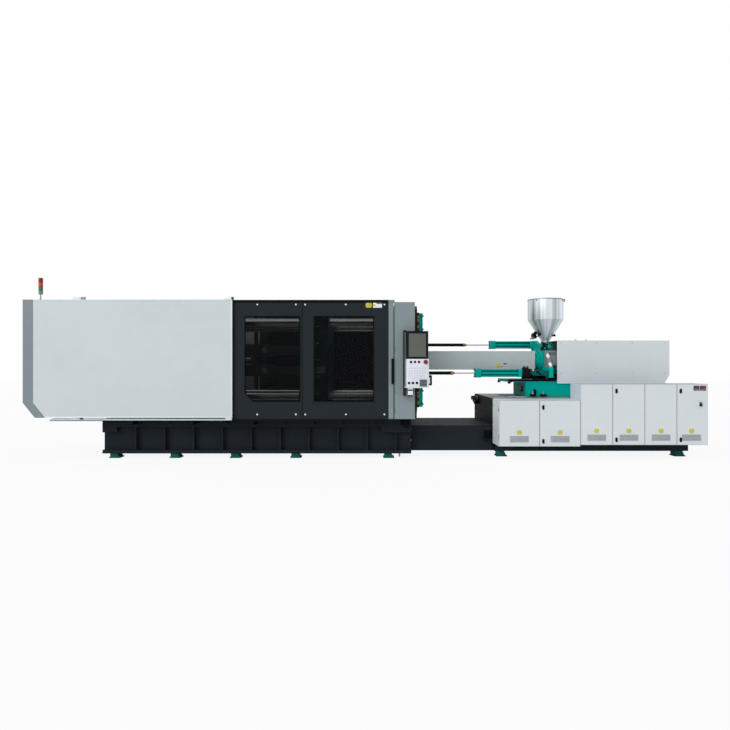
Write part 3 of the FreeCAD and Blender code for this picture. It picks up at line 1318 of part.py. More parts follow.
def cabinets():
    """Two cabinets in front of the injection base, their six doors and the main switch."""
    shells = []
    depth = ("-cabinetFront + doorThickness", "injectionFront")
    room_y = ("-cabinetFront + doorThickness - 1", "injectionFront - cabinetWall")
    for left, right, low, high in (("lowerLeft", "tallLeft", "lowerBottom", "lowerTop"),
                                   ("tallLeft", "tallRight", "tallBottom", "tallTop")):
        shell = block((left, right), depth, (low, high))
        room = block((f"{left} + cabinetWall", f"{right} - cabinetWall"), room_y,
                     (f"{low} + cabinetWall", f"{high} - cabinetWall"))
        shells.append(cut(shell, room))
    finished("cabinets", group(*shells))
    for number, (left, right, size) in enumerate(DOORS, start=1):
        x = (f"{left} + doorGap / 2", f"{right} - doorGap / 2")
        low, high = f"{size}Bottom", f"{size}Top"
        pieces = [block(x, ("-cabinetFront", "-cabinetFront + doorThickness"), (low, high))]
        centre = f"(({left} + {right}) / 2)"
        for index in range(LOUVRE_COUNT):
            step = f"(ventHeight / {LOUVRE_COUNT})"
            base = f"({low} + ventRise + {index} * {step})"
            slat = [("-cabinetFront", base), ("-cabinetFront", f"{base} + {step} - louvreGap"),
                    ("-cabinetFront - ventProud", base)]
            pieces.append(plate("side", slat, f"{centre} - ventWidth / 2", f"{centre} + ventWidth / 2"))
        if number % 2 == 0:
            for z in (f"{low} + latchInset", f"{high} - latchInset - latchHeight"):
                pieces.append(block((f"{left} + latchInset", f"{left} + latchInset + latchWidth"),
                                    ("-cabinetFront - latchProud", "-cabinetFront"), (z,
                                                                                      f"{z} + latchHeight")))
        finished(f"cabinet_door_{number}", fuse(*pieces))
    face = "-cabinetFront"
    disc = prism(KNOB_SIDES, "y", f"{face} - switchHeight", face, "switchRadius", x="switchX", z="switchZ")
    grip = block(("switchX - switchGripWidth / 2", "switchX + switchGripWidth / 2"),
                 (f"{face} - switchHeight - switchGripHeight", f"{face} - switchHeight"),
                 ("switchZ - switchGripHalf", "switchZ + switchGripHalf"))
    finished("main_switch", fuse(disc, grip))


def power_unit():
    """Pump and servo motor in the injection base's second bay, on the side away from the operator."""
    floor = "(injectionFloor + injectionBeam)"
    z = f"({floor} + pumpRise)"
    frame = cut_square("motorFrame", "motorFrameCorner", "pumpX", z)
    motor = plate("front", frame, "pumpFront + pumpLength", "pumpRear")
    pump = block(("pumpX - pumpHalf", "pumpX + pumpHalf"), ("pumpFront", "pumpFront + pumpLength"),
                 (f"{z} - pumpHalf", f"{z} + pumpHalf"))
    stand = block(("pumpX - pumpHalf", "pumpX + pumpHalf"), ("pumpFront", "injectionRear - standInset"),
                  (floor, f"{z} - pumpHalf"))
    finished("power_unit", fuse(motor, pump, stand))


clamp_base()
levelling_feet()
bridge_frame()
injection_base_frame()
fixed_platen()
moving_platen()
rear_platen()
tie_bars()
tie_bar_retainers()
slide_rails()
for name, level_sign in LEVELS.items():
    rear_link(name, level_sign)
    front_link(name, level_sign)
    cross_link(name, level_sign)
crosshead()
closing_cylinder()
ejector_plate()
guards()
for name, side_sign in SIDES.items():
    gate(name, side_sign)
tower_light()
operator_panel()
carriage()
injection_housing()
barrel_and_screw()
hopper()
injection_cover()
carriage_cylinders()
cabinets()
power_unit()

doc.recompute()
for item in doc.Objects:
    faults = [state for state in item.State if state in ("Invalid", "Error")]
    if faults:
        raise RuntimeError(f"{item.Name} ({item.Label}) failed: {faults}")
os.makedirs("parts", exist_ok=True)
for label, solid in PARTS.items():
    if solid.Shape.isNull() or not solid.Shape.isValid():
        raise RuntimeError(f"{label} has no valid shape")
for label, solid in PARTS.items():
    solid.Shape.exportStep(f"parts/{label}.step")
print(len(PARTS), "sub-parts written")
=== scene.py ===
"""Looks of a horizontal injection moulding machine: paints, metals, glass, trims and small fittings."""
import math
import bmesh
import bpy
from bpy.props import FloatProperty, FloatVectorProperty, PointerProperty
from mathutils import Matrix, Vector


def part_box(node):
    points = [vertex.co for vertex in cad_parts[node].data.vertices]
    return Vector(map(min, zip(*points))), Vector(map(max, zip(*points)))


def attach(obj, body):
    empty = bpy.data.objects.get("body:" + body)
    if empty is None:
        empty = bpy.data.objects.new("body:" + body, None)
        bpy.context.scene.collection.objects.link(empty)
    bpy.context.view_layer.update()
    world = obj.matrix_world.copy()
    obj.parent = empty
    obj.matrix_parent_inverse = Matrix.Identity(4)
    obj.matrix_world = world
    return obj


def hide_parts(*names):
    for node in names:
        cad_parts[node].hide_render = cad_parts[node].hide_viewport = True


bl_info = {
    "name": "Injection moulding machine",
    "version": (1, 0, 0),
    "blender": (4, 5, 0),
    "location": "3D View > Sidebar > Moulding machine",
    "description": "Dresses the frame of a toggle clamp injection moulding machine",
    "category": "Object",
}

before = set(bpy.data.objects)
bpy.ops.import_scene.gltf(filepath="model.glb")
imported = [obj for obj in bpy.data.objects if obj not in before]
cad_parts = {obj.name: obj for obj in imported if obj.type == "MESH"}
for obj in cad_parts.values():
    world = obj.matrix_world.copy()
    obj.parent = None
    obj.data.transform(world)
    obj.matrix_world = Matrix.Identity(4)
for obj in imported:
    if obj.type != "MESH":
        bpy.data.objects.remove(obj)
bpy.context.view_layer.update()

SHARP = math.radians(32)
FULL_TURN = 2 * math.pi
X, Y, Z = Vector((1, 0, 0)), Vector((0, 1, 0)), Vector((0, 0, 1))
WAYS = {"x": X, "y": Y, "z": Z}
PLANES = {"x": (Y, Z), "y": (X, Z), "z": (X, Y)}
BOTH = (-1, 1)
CORNERS = [(side, level) for side in BOTH for level in BOTH]
FAR = 100.0

# ---------------------------------------------------------------- places on the machine, in metres
CENTRE_LINE = 1.45
TIE_BAR_SIDE = 0.55
TIE_BAR_RISE = 0.56
GATE_FACE = 1.0
BASE_FACE = 0.8
PANEL_FACE = -1.2
CABINET_FACE = -1.05
HOPPER = Vector((2.922, 0, 0))
UPPER_CYLINDER = (0.4, 1.715)
LOWER_CYLINDER = (-0.4, 1.252)
DOORS = range(1, 7)


# ---------------------------------------------------------------- values a user may change
def paint(code):
    """Linear colour of a paint that is written as a hexadecimal code."""
    parts = [int(code[start:start + 2], 16) / 255 for start in (0, 2, 4)]
    return [part / 12.92 if part <= 0.04045 else ((part + 0.055) / 1.055) ** 2.4 for part in parts]


def swatch(label, code):
    return FloatVectorProperty(name=label, description=f"Colour of the {label.lower()}", size=3, min=0, max=1,
                               default=paint(code), subtype="COLOR")


def length(label, default):
    return FloatProperty(name=label, description=f"{label}, in metres", default=default, min=0, max=50,
                         unit="LENGTH")


def amount(label, text, default, most):
    return FloatProperty(name=label, description=text, default=default, min=0, max=most)


class MachineColours(bpy.types.PropertyGroup):
    """Colours of the machine's paints, metals and plastics."""
    cover: swatch("Side covers", "CBD4D8")
    rim: swatch("Cover rims and light trims, lighter than the covers as painted highlight", "E3EBEF")
    end: swatch("End cover", "7F8A8F")
    gate: swatch("Gates", "20272B")
    column: swatch("Platen covers", "859195")
    base: swatch("Bases", "22282D")
    foot: swatch("Levelling feet", "085A52")
    casting: swatch("Platen castings", "064B44")
    link: swatch("Toggle links", "39423F")
    teal: swatch("Injection unit", "00A99D")
    deep_teal_and_shade: swatch("Deep teal castings, and painted shade in the cylinders' recesses", "045F58")
    pipe_teal: swatch("Carriage cylinders", "0B7F76")
    housing: swatch("Housing's side plate", "7E8587")
    barrel_cover: swatch("Barrel cover", "B2BDC1")
    cabinet: swatch("Cabinets", "D2D9DE")
    cabinet_top: swatch("Injection base's top", "A0A6A9")
    vent: swatch("Cabinet vents", "A1A3A9")
    plastic: swatch("Black plastic", "121417")
    keypad: swatch("Keypad", "E2E6EE")
    key: swatch("Membrane keys", "D2D7E2")
    screen: swatch("Screen", "545852")
    red: swatch("Red plastic", "8C1418")
    amber: swatch("Orange lens", "C84A1C")
    green: swatch("Green lens", "2A7C42")
    yellow: swatch("Yellow plates", "C4B93F")
    white: swatch("White caps and plates", "EEF1F2")
    steel: swatch("Machined steel", "8F9495")
    chrome: swatch("Ground steel", "B9BCBC")
    brass: swatch("Brass", "8C7C4C")
    bronze: swatch("Bronze", "4F3A26")
    stainless: swatch("Stainless steel", "C6CDD1")
    rubber: swatch("Rubber", "0A0B0D")
    pane: swatch("Tinted panes", "040608")


class MachineSizes(bpy.types.PropertyGroup):
    """Sizes of trims and fittings."""
    rim: length("Cover rim's width", 0.016)
    gasket: length("Window gasket's width", 0.014)
    cap: length("Screw cap's radius", 0.012)
    proud: length("Height of flat trims", 0.004)


class StageValues(bpy.types.PropertyGroup):
    """Camera, lamps and floor."""
    distance: length("Camera distance", 8.99)
    height: length("Camera height", 1.376)
    lens: amount("Lens", "Focal length on a 36 mm sensor", 27.37, 300)
    world: amount("World", "Light from all round", 0.56, 5)
    key: amount("Key light", "Strength of the front light", 1.24, 20)
    fill: amount("Top light", "Strength of the overhead light", 0.4, 20)
    lift: amount("Floor's own white", "Share of plain white in what is seen of the floor", 0.9, 1)


def colours():
    return bpy.context.scene.machine_colours


def sizes():
    return bpy.context.scene.machine_sizes


# ---------------------------------------------------------------- shapes
def soften(solid, edge, steps=2):
    """Round the sharp edges of a solid."""
    if edge:
        sharp = [item for item in solid.edges if item.calc_face_angle(0) > SHARP]
        bmesh.ops.bevel(solid, geom=sharp, offset=edge, segments=steps, profile=0.5, affect="EDGES",
                        material=-1, clamp_overlap=True)
    return solid


def block(first, second, edge, steps):
    """A rectangular block between two opposite corners."""
    least = Vector([min(pair) for pair in zip(first, second)])
    most = Vector([max(pair) for pair in zip(first, second)])
    solid = bmesh.new()
    bmesh.ops.create_cube(solid, size=1)
    bmesh.ops.scale(solid, vec=most - least, verts=solid.verts)
    bmesh.ops.translate(solid, vec=(least + most) / 2, verts=solid.verts)
    return soften(solid, edge, steps)


def rod(start, end, radius, sides, edge, tip=None):
    """A round or many-sided bar from one point to another, narrowing to a tip's radius."""
    start, end = Vector(start), Vector(end)
    solid = bmesh.new()
    bmesh.ops.create_cone(solid, cap_ends=True, cap_tris=False, segments=sides, radius1=radius,
                          radius2=radius if tip is None else tip, depth=(end - start).length)
    turn = (end - start).to_track_quat("Z", "Y").to_matrix()
    bmesh.ops.rotate(solid, cent=(0, 0, 0), matrix=turn, verts=solid.verts)
    bmesh.ops.translate(solid, vec=(start + end) / 2, verts=solid.verts)
    return soften(solid, edge)


def spun(profile, centre, way, steps, closed):
    """A turned solid: its profile lists radii and places along its axis."""
    solid = bmesh.new()
    points = [solid.verts.new((radius, 0, along)) for radius, along in profile]
    pairs = list(zip(points, points[1:])) + ([(points[-1], points[0])] if closed else [])
    lines = [solid.edges.new(pair) for pair in pairs]
    bmesh.ops.spin(solid, geom=points + lines, cent=(0, 0, 0), axis=Z, angle=FULL_TURN, steps=steps,
                   use_merge=True)
    bmesh.ops.remove_doubles(solid, verts=solid.verts, dist=1e-6)
    bmesh.ops.recalc_face_normals(solid, faces=solid.faces)
    turn = Z.rotation_difference(WAYS[way]).to_matrix()
    bmesh.ops.rotate(solid, cent=(0, 0, 0), matrix=turn, verts=solid.verts)
    bmesh.ops.translate(solid, vec=centre, verts=solid.verts)
    return solid


def flat_face(solid, outline, place, way):
    """A face across an axis, from an outline of two coordinates."""
    across, up = PLANES[way]
    spots = [WAYS[way] * place + across * first + up * second for first, second in outline]
    return solid.faces.new([solid.verts.new(spot) for spot in spots])


def pull(solid, faces, shift, edge):
    """Pull faces through to a solid of that thickness."""
    made = bmesh.ops.extrude_face_region(solid, geom=faces)
    moved = [item for item in made["geom"] if isinstance(item, bmesh.types.BMVert)]
    bmesh.ops.translate(solid, vec=shift, verts=moved)
    bmesh.ops.recalc_face_normals(solid, faces=solid.faces)
    return soften(solid, edge)


def plate(outline, low, high, way, edge):
    """A flat plate with any outline."""
    solid = bmesh.new()
    face = flat_face(solid, outline, low, way)
    return pull(solid, [face], WAYS[way] * (high - low), edge)


def surround(outline, width, low, high, way, edge):
    """A flat frame inside an outline."""
    solid = bmesh.new()
    face = flat_face(solid, outline, low, way)
    face.normal_update()
    band = bmesh.ops.inset_individual(solid, faces=[face], thickness=width, use_even_offset=True)["faces"]
    bmesh.ops.delete(solid, geom=[face], context="FACES_ONLY")
    return pull(solid, band, WAYS[way] * (high - low), edge)


def rectangle(left, right, low, high, corner=0.0):
    """Corners of a rectangle, rounded where a corner size is given."""
    if not corner:
        return [(left, low), (right, low), (right, high), (left, high)]
    points = []
    steps = 4
    centres = ((right - corner, low + corner, -90), (right - corner, high - corner, 0),
               (left + corner, high - corner, 90), (left + corner, low + corner, 180))
    for across, up, start in centres:
        for step in range(steps + 1):
            angle = math.radians(start + 90 / steps * step)
            points.append((across + corner * math.cos(angle), up + corner * math.sin(angle)))
    return points


def ring(centre, way, radius, count, start=0.0):
    """Spots evenly spaced on a circle about an axis, from an angle on."""
    across, up = PLANES[way]
    for step in range(count):
        turn = start + step * FULL_TURN / count
        yield Vector(centre) + radius * (across * math.cos(turn) + up * math.sin(turn))


class Piece:
    """Solids gathered in one mesh, each with its own finish."""

    def __init__(self, name):
        self.name = name
        self.mesh = bmesh.new()
        self.finishes = []

    def put(self, solid, finish):
        """Add a solid in a finish."""
        if finish not in self.finishes:
            self.finishes.append(finish)
        for face in solid.faces:
            face.material_index = self.finishes.index(finish)
            face.smooth = True
        carrier = bpy.data.meshes.new("carrier")
        solid.to_mesh(carrier)
        solid.free()
        self.mesh.from_mesh(carrier)
        bpy.data.meshes.remove(carrier)

    def box(self, first, second, finish, edge=0.003, steps=2):
        """Add a rectangular block between two opposite corners."""
        self.put(block(first, second, edge, steps), finish)

    def bar(self, start, end, radius, finish, sides=20, edge=0.002):
        """Add a round or many-sided bar between two points."""
        self.put(rod(start, end, radius, sides, edge), finish)

    def stud(self, spot, way, reach, radius, finish, sides=20, edge=0.002, tip=None):
        """Add a round or many-sided bar that stands on a spot."""
        self.put(rod(Vector(spot), Vector(spot) + way * reach, radius, sides, edge, tip), finish)

    def flat(self, outline, low, high, finish, way="y", edge=0.0004):
        """Add a flat plate with any outline."""
        self.put(plate(outline, low, high, way, edge), finish)

    def frame(self, outline, width, low, high, finish, way="y", edge=0.0015):
        """Add a flat frame inside an outline."""
        self.put(surround(outline, width, low, high, way, edge), finish)

    def turned(self, profile, centre, finish, way="z", steps=48):
        """Add a turned solid whose profile starts and ends on its axis."""
        self.put(spun(profile, centre, way, steps, False), finish)

    def hoop(self, section, centre, finish, way="z", steps=48):
        """Add a turned solid with a bore, from the closed section of its wall."""
        self.put(spun(section, centre, way, steps, True), finish)

    def bolt(self, spot, way, size, finish="bolt steel"):
        """Add a bolt head on its washer, facing a direction."""
        self.stud(spot, way, size * 0.2, size * 1.35, finish, 20, size * 0.05)
        self.stud(spot, way, size * 0.9, size, finish, 6, size * 0.12)

    def cap(self, spot, way, size, finish):
        """Add a low domed cap, facing a direction."""
        self.stud(spot, way, size * 0.22, size, finish, 24, size * 0.06)
        self.stud(spot, way, size * 0.5, size * 0.82, finish, 24, size * 0.3, size * 0.45)

    def done(self, body, replaces=()):
        """Make the object, and let it ride on a body."""
        mesh = bpy.data.meshes.new(self.name)
        self.mesh.to_mesh(mesh)
        self.mesh.free()
        mesh.set_sharp_from_angle(angle=SHARP)
        for finish in self.finishes:
            mesh.materials.append(bpy.data.materials[finish])
        item = bpy.data.objects.new(self.name, mesh)
        bpy.context.scene.collection.objects.link(item)
        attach(item, body)
        if replaces:
            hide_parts(*replaces)


# ---------------------------------------------------------------- node effects
def feed(tree, node, inputs):
    """Set each input of a node to a value, or join it to another node's output."""
    for key, value in inputs.items():
        if isinstance(value, bpy.types.NodeSocket):
            tree.links.new(value, node.inputs[key])
        else:
            node.inputs[key].default_value = value


def knot(tree, kind, inputs, **settings):
    """A node with its settings and its inputs."""
    made = tree.nodes.new(kind)
    for key, value in settings.items():
        setattr(made, key, value)
    feed(tree, made, inputs)
    return made


def effect(name, takes, gives):
    """A new effect group with its named inputs and outputs."""
    tree = bpy.data.node_groups.new(name, "ShaderNodeTree")
    for label, kind, value in takes:
        socket = tree.interface.new_socket(name=label, in_out="INPUT", socket_type=f"NodeSocket{kind}")
        if value is not None:
            socket.default_value = value
    for label, kind in gives:
        tree.interface.new_socket(name=label, in_out="OUTPUT", socket_type=f"NodeSocket{kind}")
    return tree, tree.nodes.new("NodeGroupInput").outputs, tree.nodes.new("NodeGroupOutput").inputs


def noise(tree, vector, scale, detail=3.0):
    inputs = {"Vector": vector, "Scale": scale, "Detail": detail}
    return knot(tree, "ShaderNodeTexNoise", inputs).outputs["Fac"]


def spread(tree, value, low, high, start=0.3, end=0.7):
    """A value between two limits, from a value that varies about a half."""
    limits = {"Value": value, "From Min": start, "From Max": end, "To Min": low, "To Max": high}
    return knot(tree, "ShaderNodeMapRange", limits).outputs["Result"]


def cloud(tree, vector, scale, detail=3.0):
    """Noise between minus one and one."""
    return spread(tree, noise(tree, vector, scale, detail), -1, 1)


def sum_of(tree, operation, *values):
    return knot(tree, "ShaderNodeMath", dict(enumerate(values)), operation=operation).outputs[0]


def vector_of(tree, operation, *values):
    return knot(tree, "ShaderNodeVectorMath", dict(enumerate(values)), operation=operation).outputs[0]


def toned(tree, colour, change, amount):
    """A colour made lighter and darker by a share of a change."""
    level = sum_of(tree, "ADD", sum_of(tree, "MULTIPLY", change, amount), 1.0)
    return knot(tree, "ShaderNodeVectorMath", {0: colour, "Scale": level}, operation="SCALE").outputs[0]


def blend_colour(tree, share, first, second):
    return knot(tree, "ShaderNodeMix", {0: share, 6: first, 7: second}, data_type="RGBA").outputs[2]


def blend_value(tree, share, first, second):
    return knot(tree, "ShaderNodeMix", {0: share, 2: first, 3: second}, data_type="FLOAT").outputs[0]


def seen_straight(tree):
    """One for what is seen directly, mirrored or through glass, and zero for light on a surface."""
    seen = knot(tree, "ShaderNodeLightPath", {}).outputs
    straight = sum_of(tree, "MAXIMUM", seen["Is Camera Ray"], seen["Is Glossy Ray"])
    return sum_of(tree, "MAXIMUM", straight, seen["Is Transmission Ray"])


def make_paint_film():
    """Sprayed paint: slow changes of tone, fine orange peel and smudges of gloss."""
    tree, enter, leave = effect("Paint film", (("Vector", "Vector", None), ("Colour", "Color", None),
                                               ("Tone", "Float", 0.03), ("Grain", "Float", 90.0),
                                               ("Roughness", "Float", 0.4), ("Smudge", "Float", 0.06)),
                                (("Colour", "Color"), ("Roughness", "Float"), ("Height", "Float")))
    patch = cloud(tree, enter["Vector"], 6.5, 5.0)
    both = sum_of(tree, "MULTIPLY_ADD", patch, 0.4, cloud(tree, enter["Vector"], 0.8))
    tree.links.new(toned(tree, enter["Colour"], both, enter["Tone"]), leave["Colour"])
    gloss = sum_of(tree, "MULTIPLY", cloud(tree, enter["Vector"], 11.0, 6.0), enter["Smudge"])
    tree.links.new(sum_of(tree, "ADD", gloss, enter["Roughness"]), leave["Roughness"])
    tree.links.new(noise(tree, enter["Vector"], enter["Grain"], 2.0), leave["Height"])
    return tree


def make_settled_dust():
    """Grey dust on faces that look up, and a soiled foot near the floor."""
    tree, enter, leave = effect("Settled dust", (("Vector", "Vector", None), ("Normal", "Vector", None),
                                                 ("Colour", "Color", None),
                                                 ("Dust", "Color", (0.33, 0.33, 0.31, 1)),
                                                 ("Amount", "Float", 0.3), ("Foot", "Float", 0.35)),
                                (("Colour", "Color"), ("Mask", "Float")))
    up = knot(tree, "ShaderNodeSeparateXYZ", {0: enter["Normal"]}).outputs["Z"]
    height = knot(tree, "ShaderNodeSeparateXYZ", {0: enter["Vector"]}).outputs["Z"]
    lying = spread(tree, up, 0, 1, 0.55, 0.95)
    clumps = spread(tree, noise(tree, enter["Vector"], 4.0, 8.0), 0.15, 1)
    low = sum_of(tree, "DIVIDE", height, enter["Foot"])
    splash = sum_of(tree, "MULTIPLY", spread(tree, low, 0.55, 0, 0.0, 1.0), clumps)
    most = sum_of(tree, "MAXIMUM", sum_of(tree, "MULTIPLY", lying, clumps), splash)
    mask = sum_of(tree, "MULTIPLY", most, enter["Amount"])
    tree.links.new(blend_colour(tree, mask, enter["Colour"], enter["Dust"]), leave["Colour"])
    tree.links.new(mask, leave["Mask"])
    return tree


def make_drawn_metal():
    """Ground or brushed metal: fine lines along one direction, cloudy tone and stains."""
    tree, enter, leave = effect("Drawn metal", (("Vector", "Vector", None), ("Colour", "Color", None),
                                                ("Stretch", "Vector", (1, 1, 1)), ("Tone", "Float", 0.08),
                                                ("Stain", "Float", 0.5), ("Roughness", "Float", 0.3)),
                                (("Colour", "Color"), ("Roughness", "Float"), ("Height", "Float")))
    streak = noise(tree, vector_of(tree, "MULTIPLY", enter["Vector"], enter["Stretch"]), 1.0, 6.0)
    stain = cloud(tree, enter["Vector"], 9.0, 6.0)
    both = sum_of(tree, "MULTIPLY_ADD", stain, enter["Stain"], spread(tree, streak, -1, 1))
    tree.links.new(toned(tree, enter["Colour"], both, enter["Tone"]), leave["Colour"])
    gloss = sum_of(tree, "ADD", spread(tree, streak, -0.08, 0.1), enter["Roughness"])
    tree.links.new(gloss, leave["Roughness"])
    tree.links.new(streak, leave["Height"])
    return tree


def make_rubbed_marks():
    """Thin scratches and rubbed spots."""
    tree, enter, leave = effect("Rubbed marks", (("Vector", "Vector", None), ("Amount", "Float", 0.2)),
                                (("Mask", "Float"),))
    lines = vector_of(tree, "MULTIPLY", enter["Vector"], (3.0, 60.0, 45.0))
    scratch = spread(tree, noise(tree, lines, 1.0, 5.0), 0, 1, 0.66, 0.74)
    spot = spread(tree, noise(tree, enter["Vector"], 2.2, 6.0), 0, 1, 0.5, 0.72)
    worn = sum_of(tree, "MULTIPLY", scratch, spot)
    tree.links.new(sum_of(tree, "MULTIPLY", worn, enter["Amount"]), leave["Mask"])
    return tree


def make_place_zone():
    """One inside a box between two corners, zero outside."""
    tree, enter, leave = effect("Place zone", (("Vector", "Vector", None), ("Low", "Vector", None),
                                               ("High", "Vector", None)), (("Mask", "Float"),))
    over = vector_of(tree, "SUBTRACT", enter["Vector"], enter["Low"])
    under = vector_of(tree, "SUBTRACT", enter["High"], enter["Vector"])
    parts = knot(tree, "ShaderNodeSeparateXYZ", {0: vector_of(tree, "MINIMUM", over, under)}).outputs
    nearest = sum_of(tree, "MINIMUM", sum_of(tree, "MINIMUM", parts["X"], parts["Y"]), parts["Z"])
    tree.links.new(sum_of(tree, "GREATER_THAN", nearest, 0.0), leave["Mask"])
    return tree


EFFECTS = {"Paint film": make_paint_film, "Settled dust": make_settled_dust, "Drawn metal": make_drawn_metal,
           "Rubbed marks": make_rubbed_marks, "Place zone": make_place_zone}


def use_effect(tree, name, inputs):
    """Place an effect in a material, with this material's own values."""
    group = bpy.data.node_groups.get(name) or EFFECTS[name]()
    return knot(tree, "ShaderNodeGroup", inputs, node_tree=group).outputs


def opaque(colour):
    return (*colour, 1.0)


def zone(colour, roughness=None, **limits):
    """A differently finished place on a surface: limits give low and high along x, y and z."""
    low, high = zip(*[limits.get(way, (-FAR, FAR)) for way in "xyz"])
    return colour, roughness, {"Low": low, "High": high}


def new_material(name):
    """A new material with its nodes, its shader and the place on the object."""
    material = bpy.data.materials.new(name)
    material.use_nodes = True
    tree = material.node_tree
    shader = tree.nodes["Principled BSDF"]
    spot = knot(tree, "ShaderNodeTexCoord", {}).outputs["Object"]
    return material, tree, shader, spot


def dusted(tree, spot, shade, amount):
    """A colour under settled dust."""
    normal = knot(tree, "ShaderNodeNewGeometry", {}).outputs["Normal"]
    inputs = {"Vector": spot, "Normal": normal, "Colour": shade, "Amount": amount}
    return use_effect(tree, "Settled dust", inputs)["Colour"]


def relief(tree, height, strength, distance):
    """A surface's small bumps."""
    inputs = {"Height": height, "Strength": strength, "Distance": distance}
    return knot(tree, "ShaderNodeBump", inputs).outputs[0]


def coated(name, colour, roughness=0.42, tone=0.03, grain=90.0, bump=0.05, dust=0.2, rubbed=0.0, gloss=0.0,
           under=(0.35, 0.36, 0.36), zones=(), glow=0.0, shine=0.4):
    """A painted or moulded surface, with zones of other colours where asked."""
    material, tree, shader, spot = new_material(name)
    plain = opaque(colour)
    masks = []
    for tint, _, limits in zones:
        masks.append(use_effect(tree, "Place zone", {"Vector": spot, **limits})["Mask"])
        plain = blend_colour(tree, masks[-1], plain, opaque(tint))
    film = use_effect(tree, "Paint film", {"Vector": spot, "Colour": plain, "Tone": tone, "Grain": grain,
                                           "Roughness": roughness, "Smudge": 0.05})
    shade, rough = film["Colour"], film["Roughness"]
    for mask, (_, local, _) in zip(masks, zones):
        if local is not None:
            rough = blend_value(tree, mask, rough, local)
    if rubbed:
        marks = use_effect(tree, "Rubbed marks", {"Vector": spot, "Amount": rubbed})["Mask"]
        shade = blend_colour(tree, marks, shade, opaque(under))
    if dust:
        shade = dusted(tree, spot, shade, dust)
    feed(tree, shader, {"Base Color": shade, "Roughness": rough, "Specular IOR Level": shine,
                        "Coat Weight": gloss, "Coat Roughness": 0.12,
                        "Normal": relief(tree, film["Height"], bump, 0.001)})
    if glow:
        feed(tree, shader, {"Emission Color": shade, "Emission Strength": glow})
    return material


def bare(name, colour, roughness, stretch, tone, dust=0.08, stain=0.5, axis=None):
    """Bare metal with fine lines along one direction, or along the sides of a round form about an axis."""
    material, tree, shader, spot = new_material(name)
    lines = spot
    if axis is not None:
        lines = vector_of(tree, "MULTIPLY", vector_of(tree, "SUBTRACT", spot, axis), (1, 1, 0))
        lines = vector_of(tree, "NORMALIZE", lines)
    drawn = use_effect(tree, "Drawn metal", {"Vector": lines, "Colour": opaque(colour), "Stretch": stretch,
                                             "Tone": tone, "Stain": stain, "Roughness": roughness})
    feed(tree, shader, {"Base Color": dusted(tree, spot, drawn["Colour"], dust), "Metallic": 1.0,
                        "Roughness": drawn["Roughness"],
                        "Normal": relief(tree, drawn["Height"], 0.04, 0.0006)})
    return material


def pane(name, colour, cover):
    """A tinted pane with faint smears, which covers that share of what stands behind it."""
    material, tree, shader, spot = new_material(name)
    film = use_effect(tree, "Paint film", {"Vector": spot, "Colour": opaque(colour), "Tone": 0.06,
                                           "Grain": 30.0, "Roughness": 0.06, "Smudge": 0.02})
    vary = min(0.03, (1 - cover) / 2)
    haze = spread(tree, noise(tree, spot, 1.7, 4.0), cover - vary, cover + vary)
    feed(tree, shader, {"Base Color": film["Colour"], "Roughness": film["Roughness"], "Alpha": haze,
                        "Specular IOR Level": 0.08})
    return material


# ---------------------------------------------------------------- steps
class Step:
    """Shared settings of the steps that dress the machine."""
    bl_options = {"REGISTER", "UNDO"}


def dress(material, *nodes):
    for name in nodes:
        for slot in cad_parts[name].material_slots:
            slot.material = material


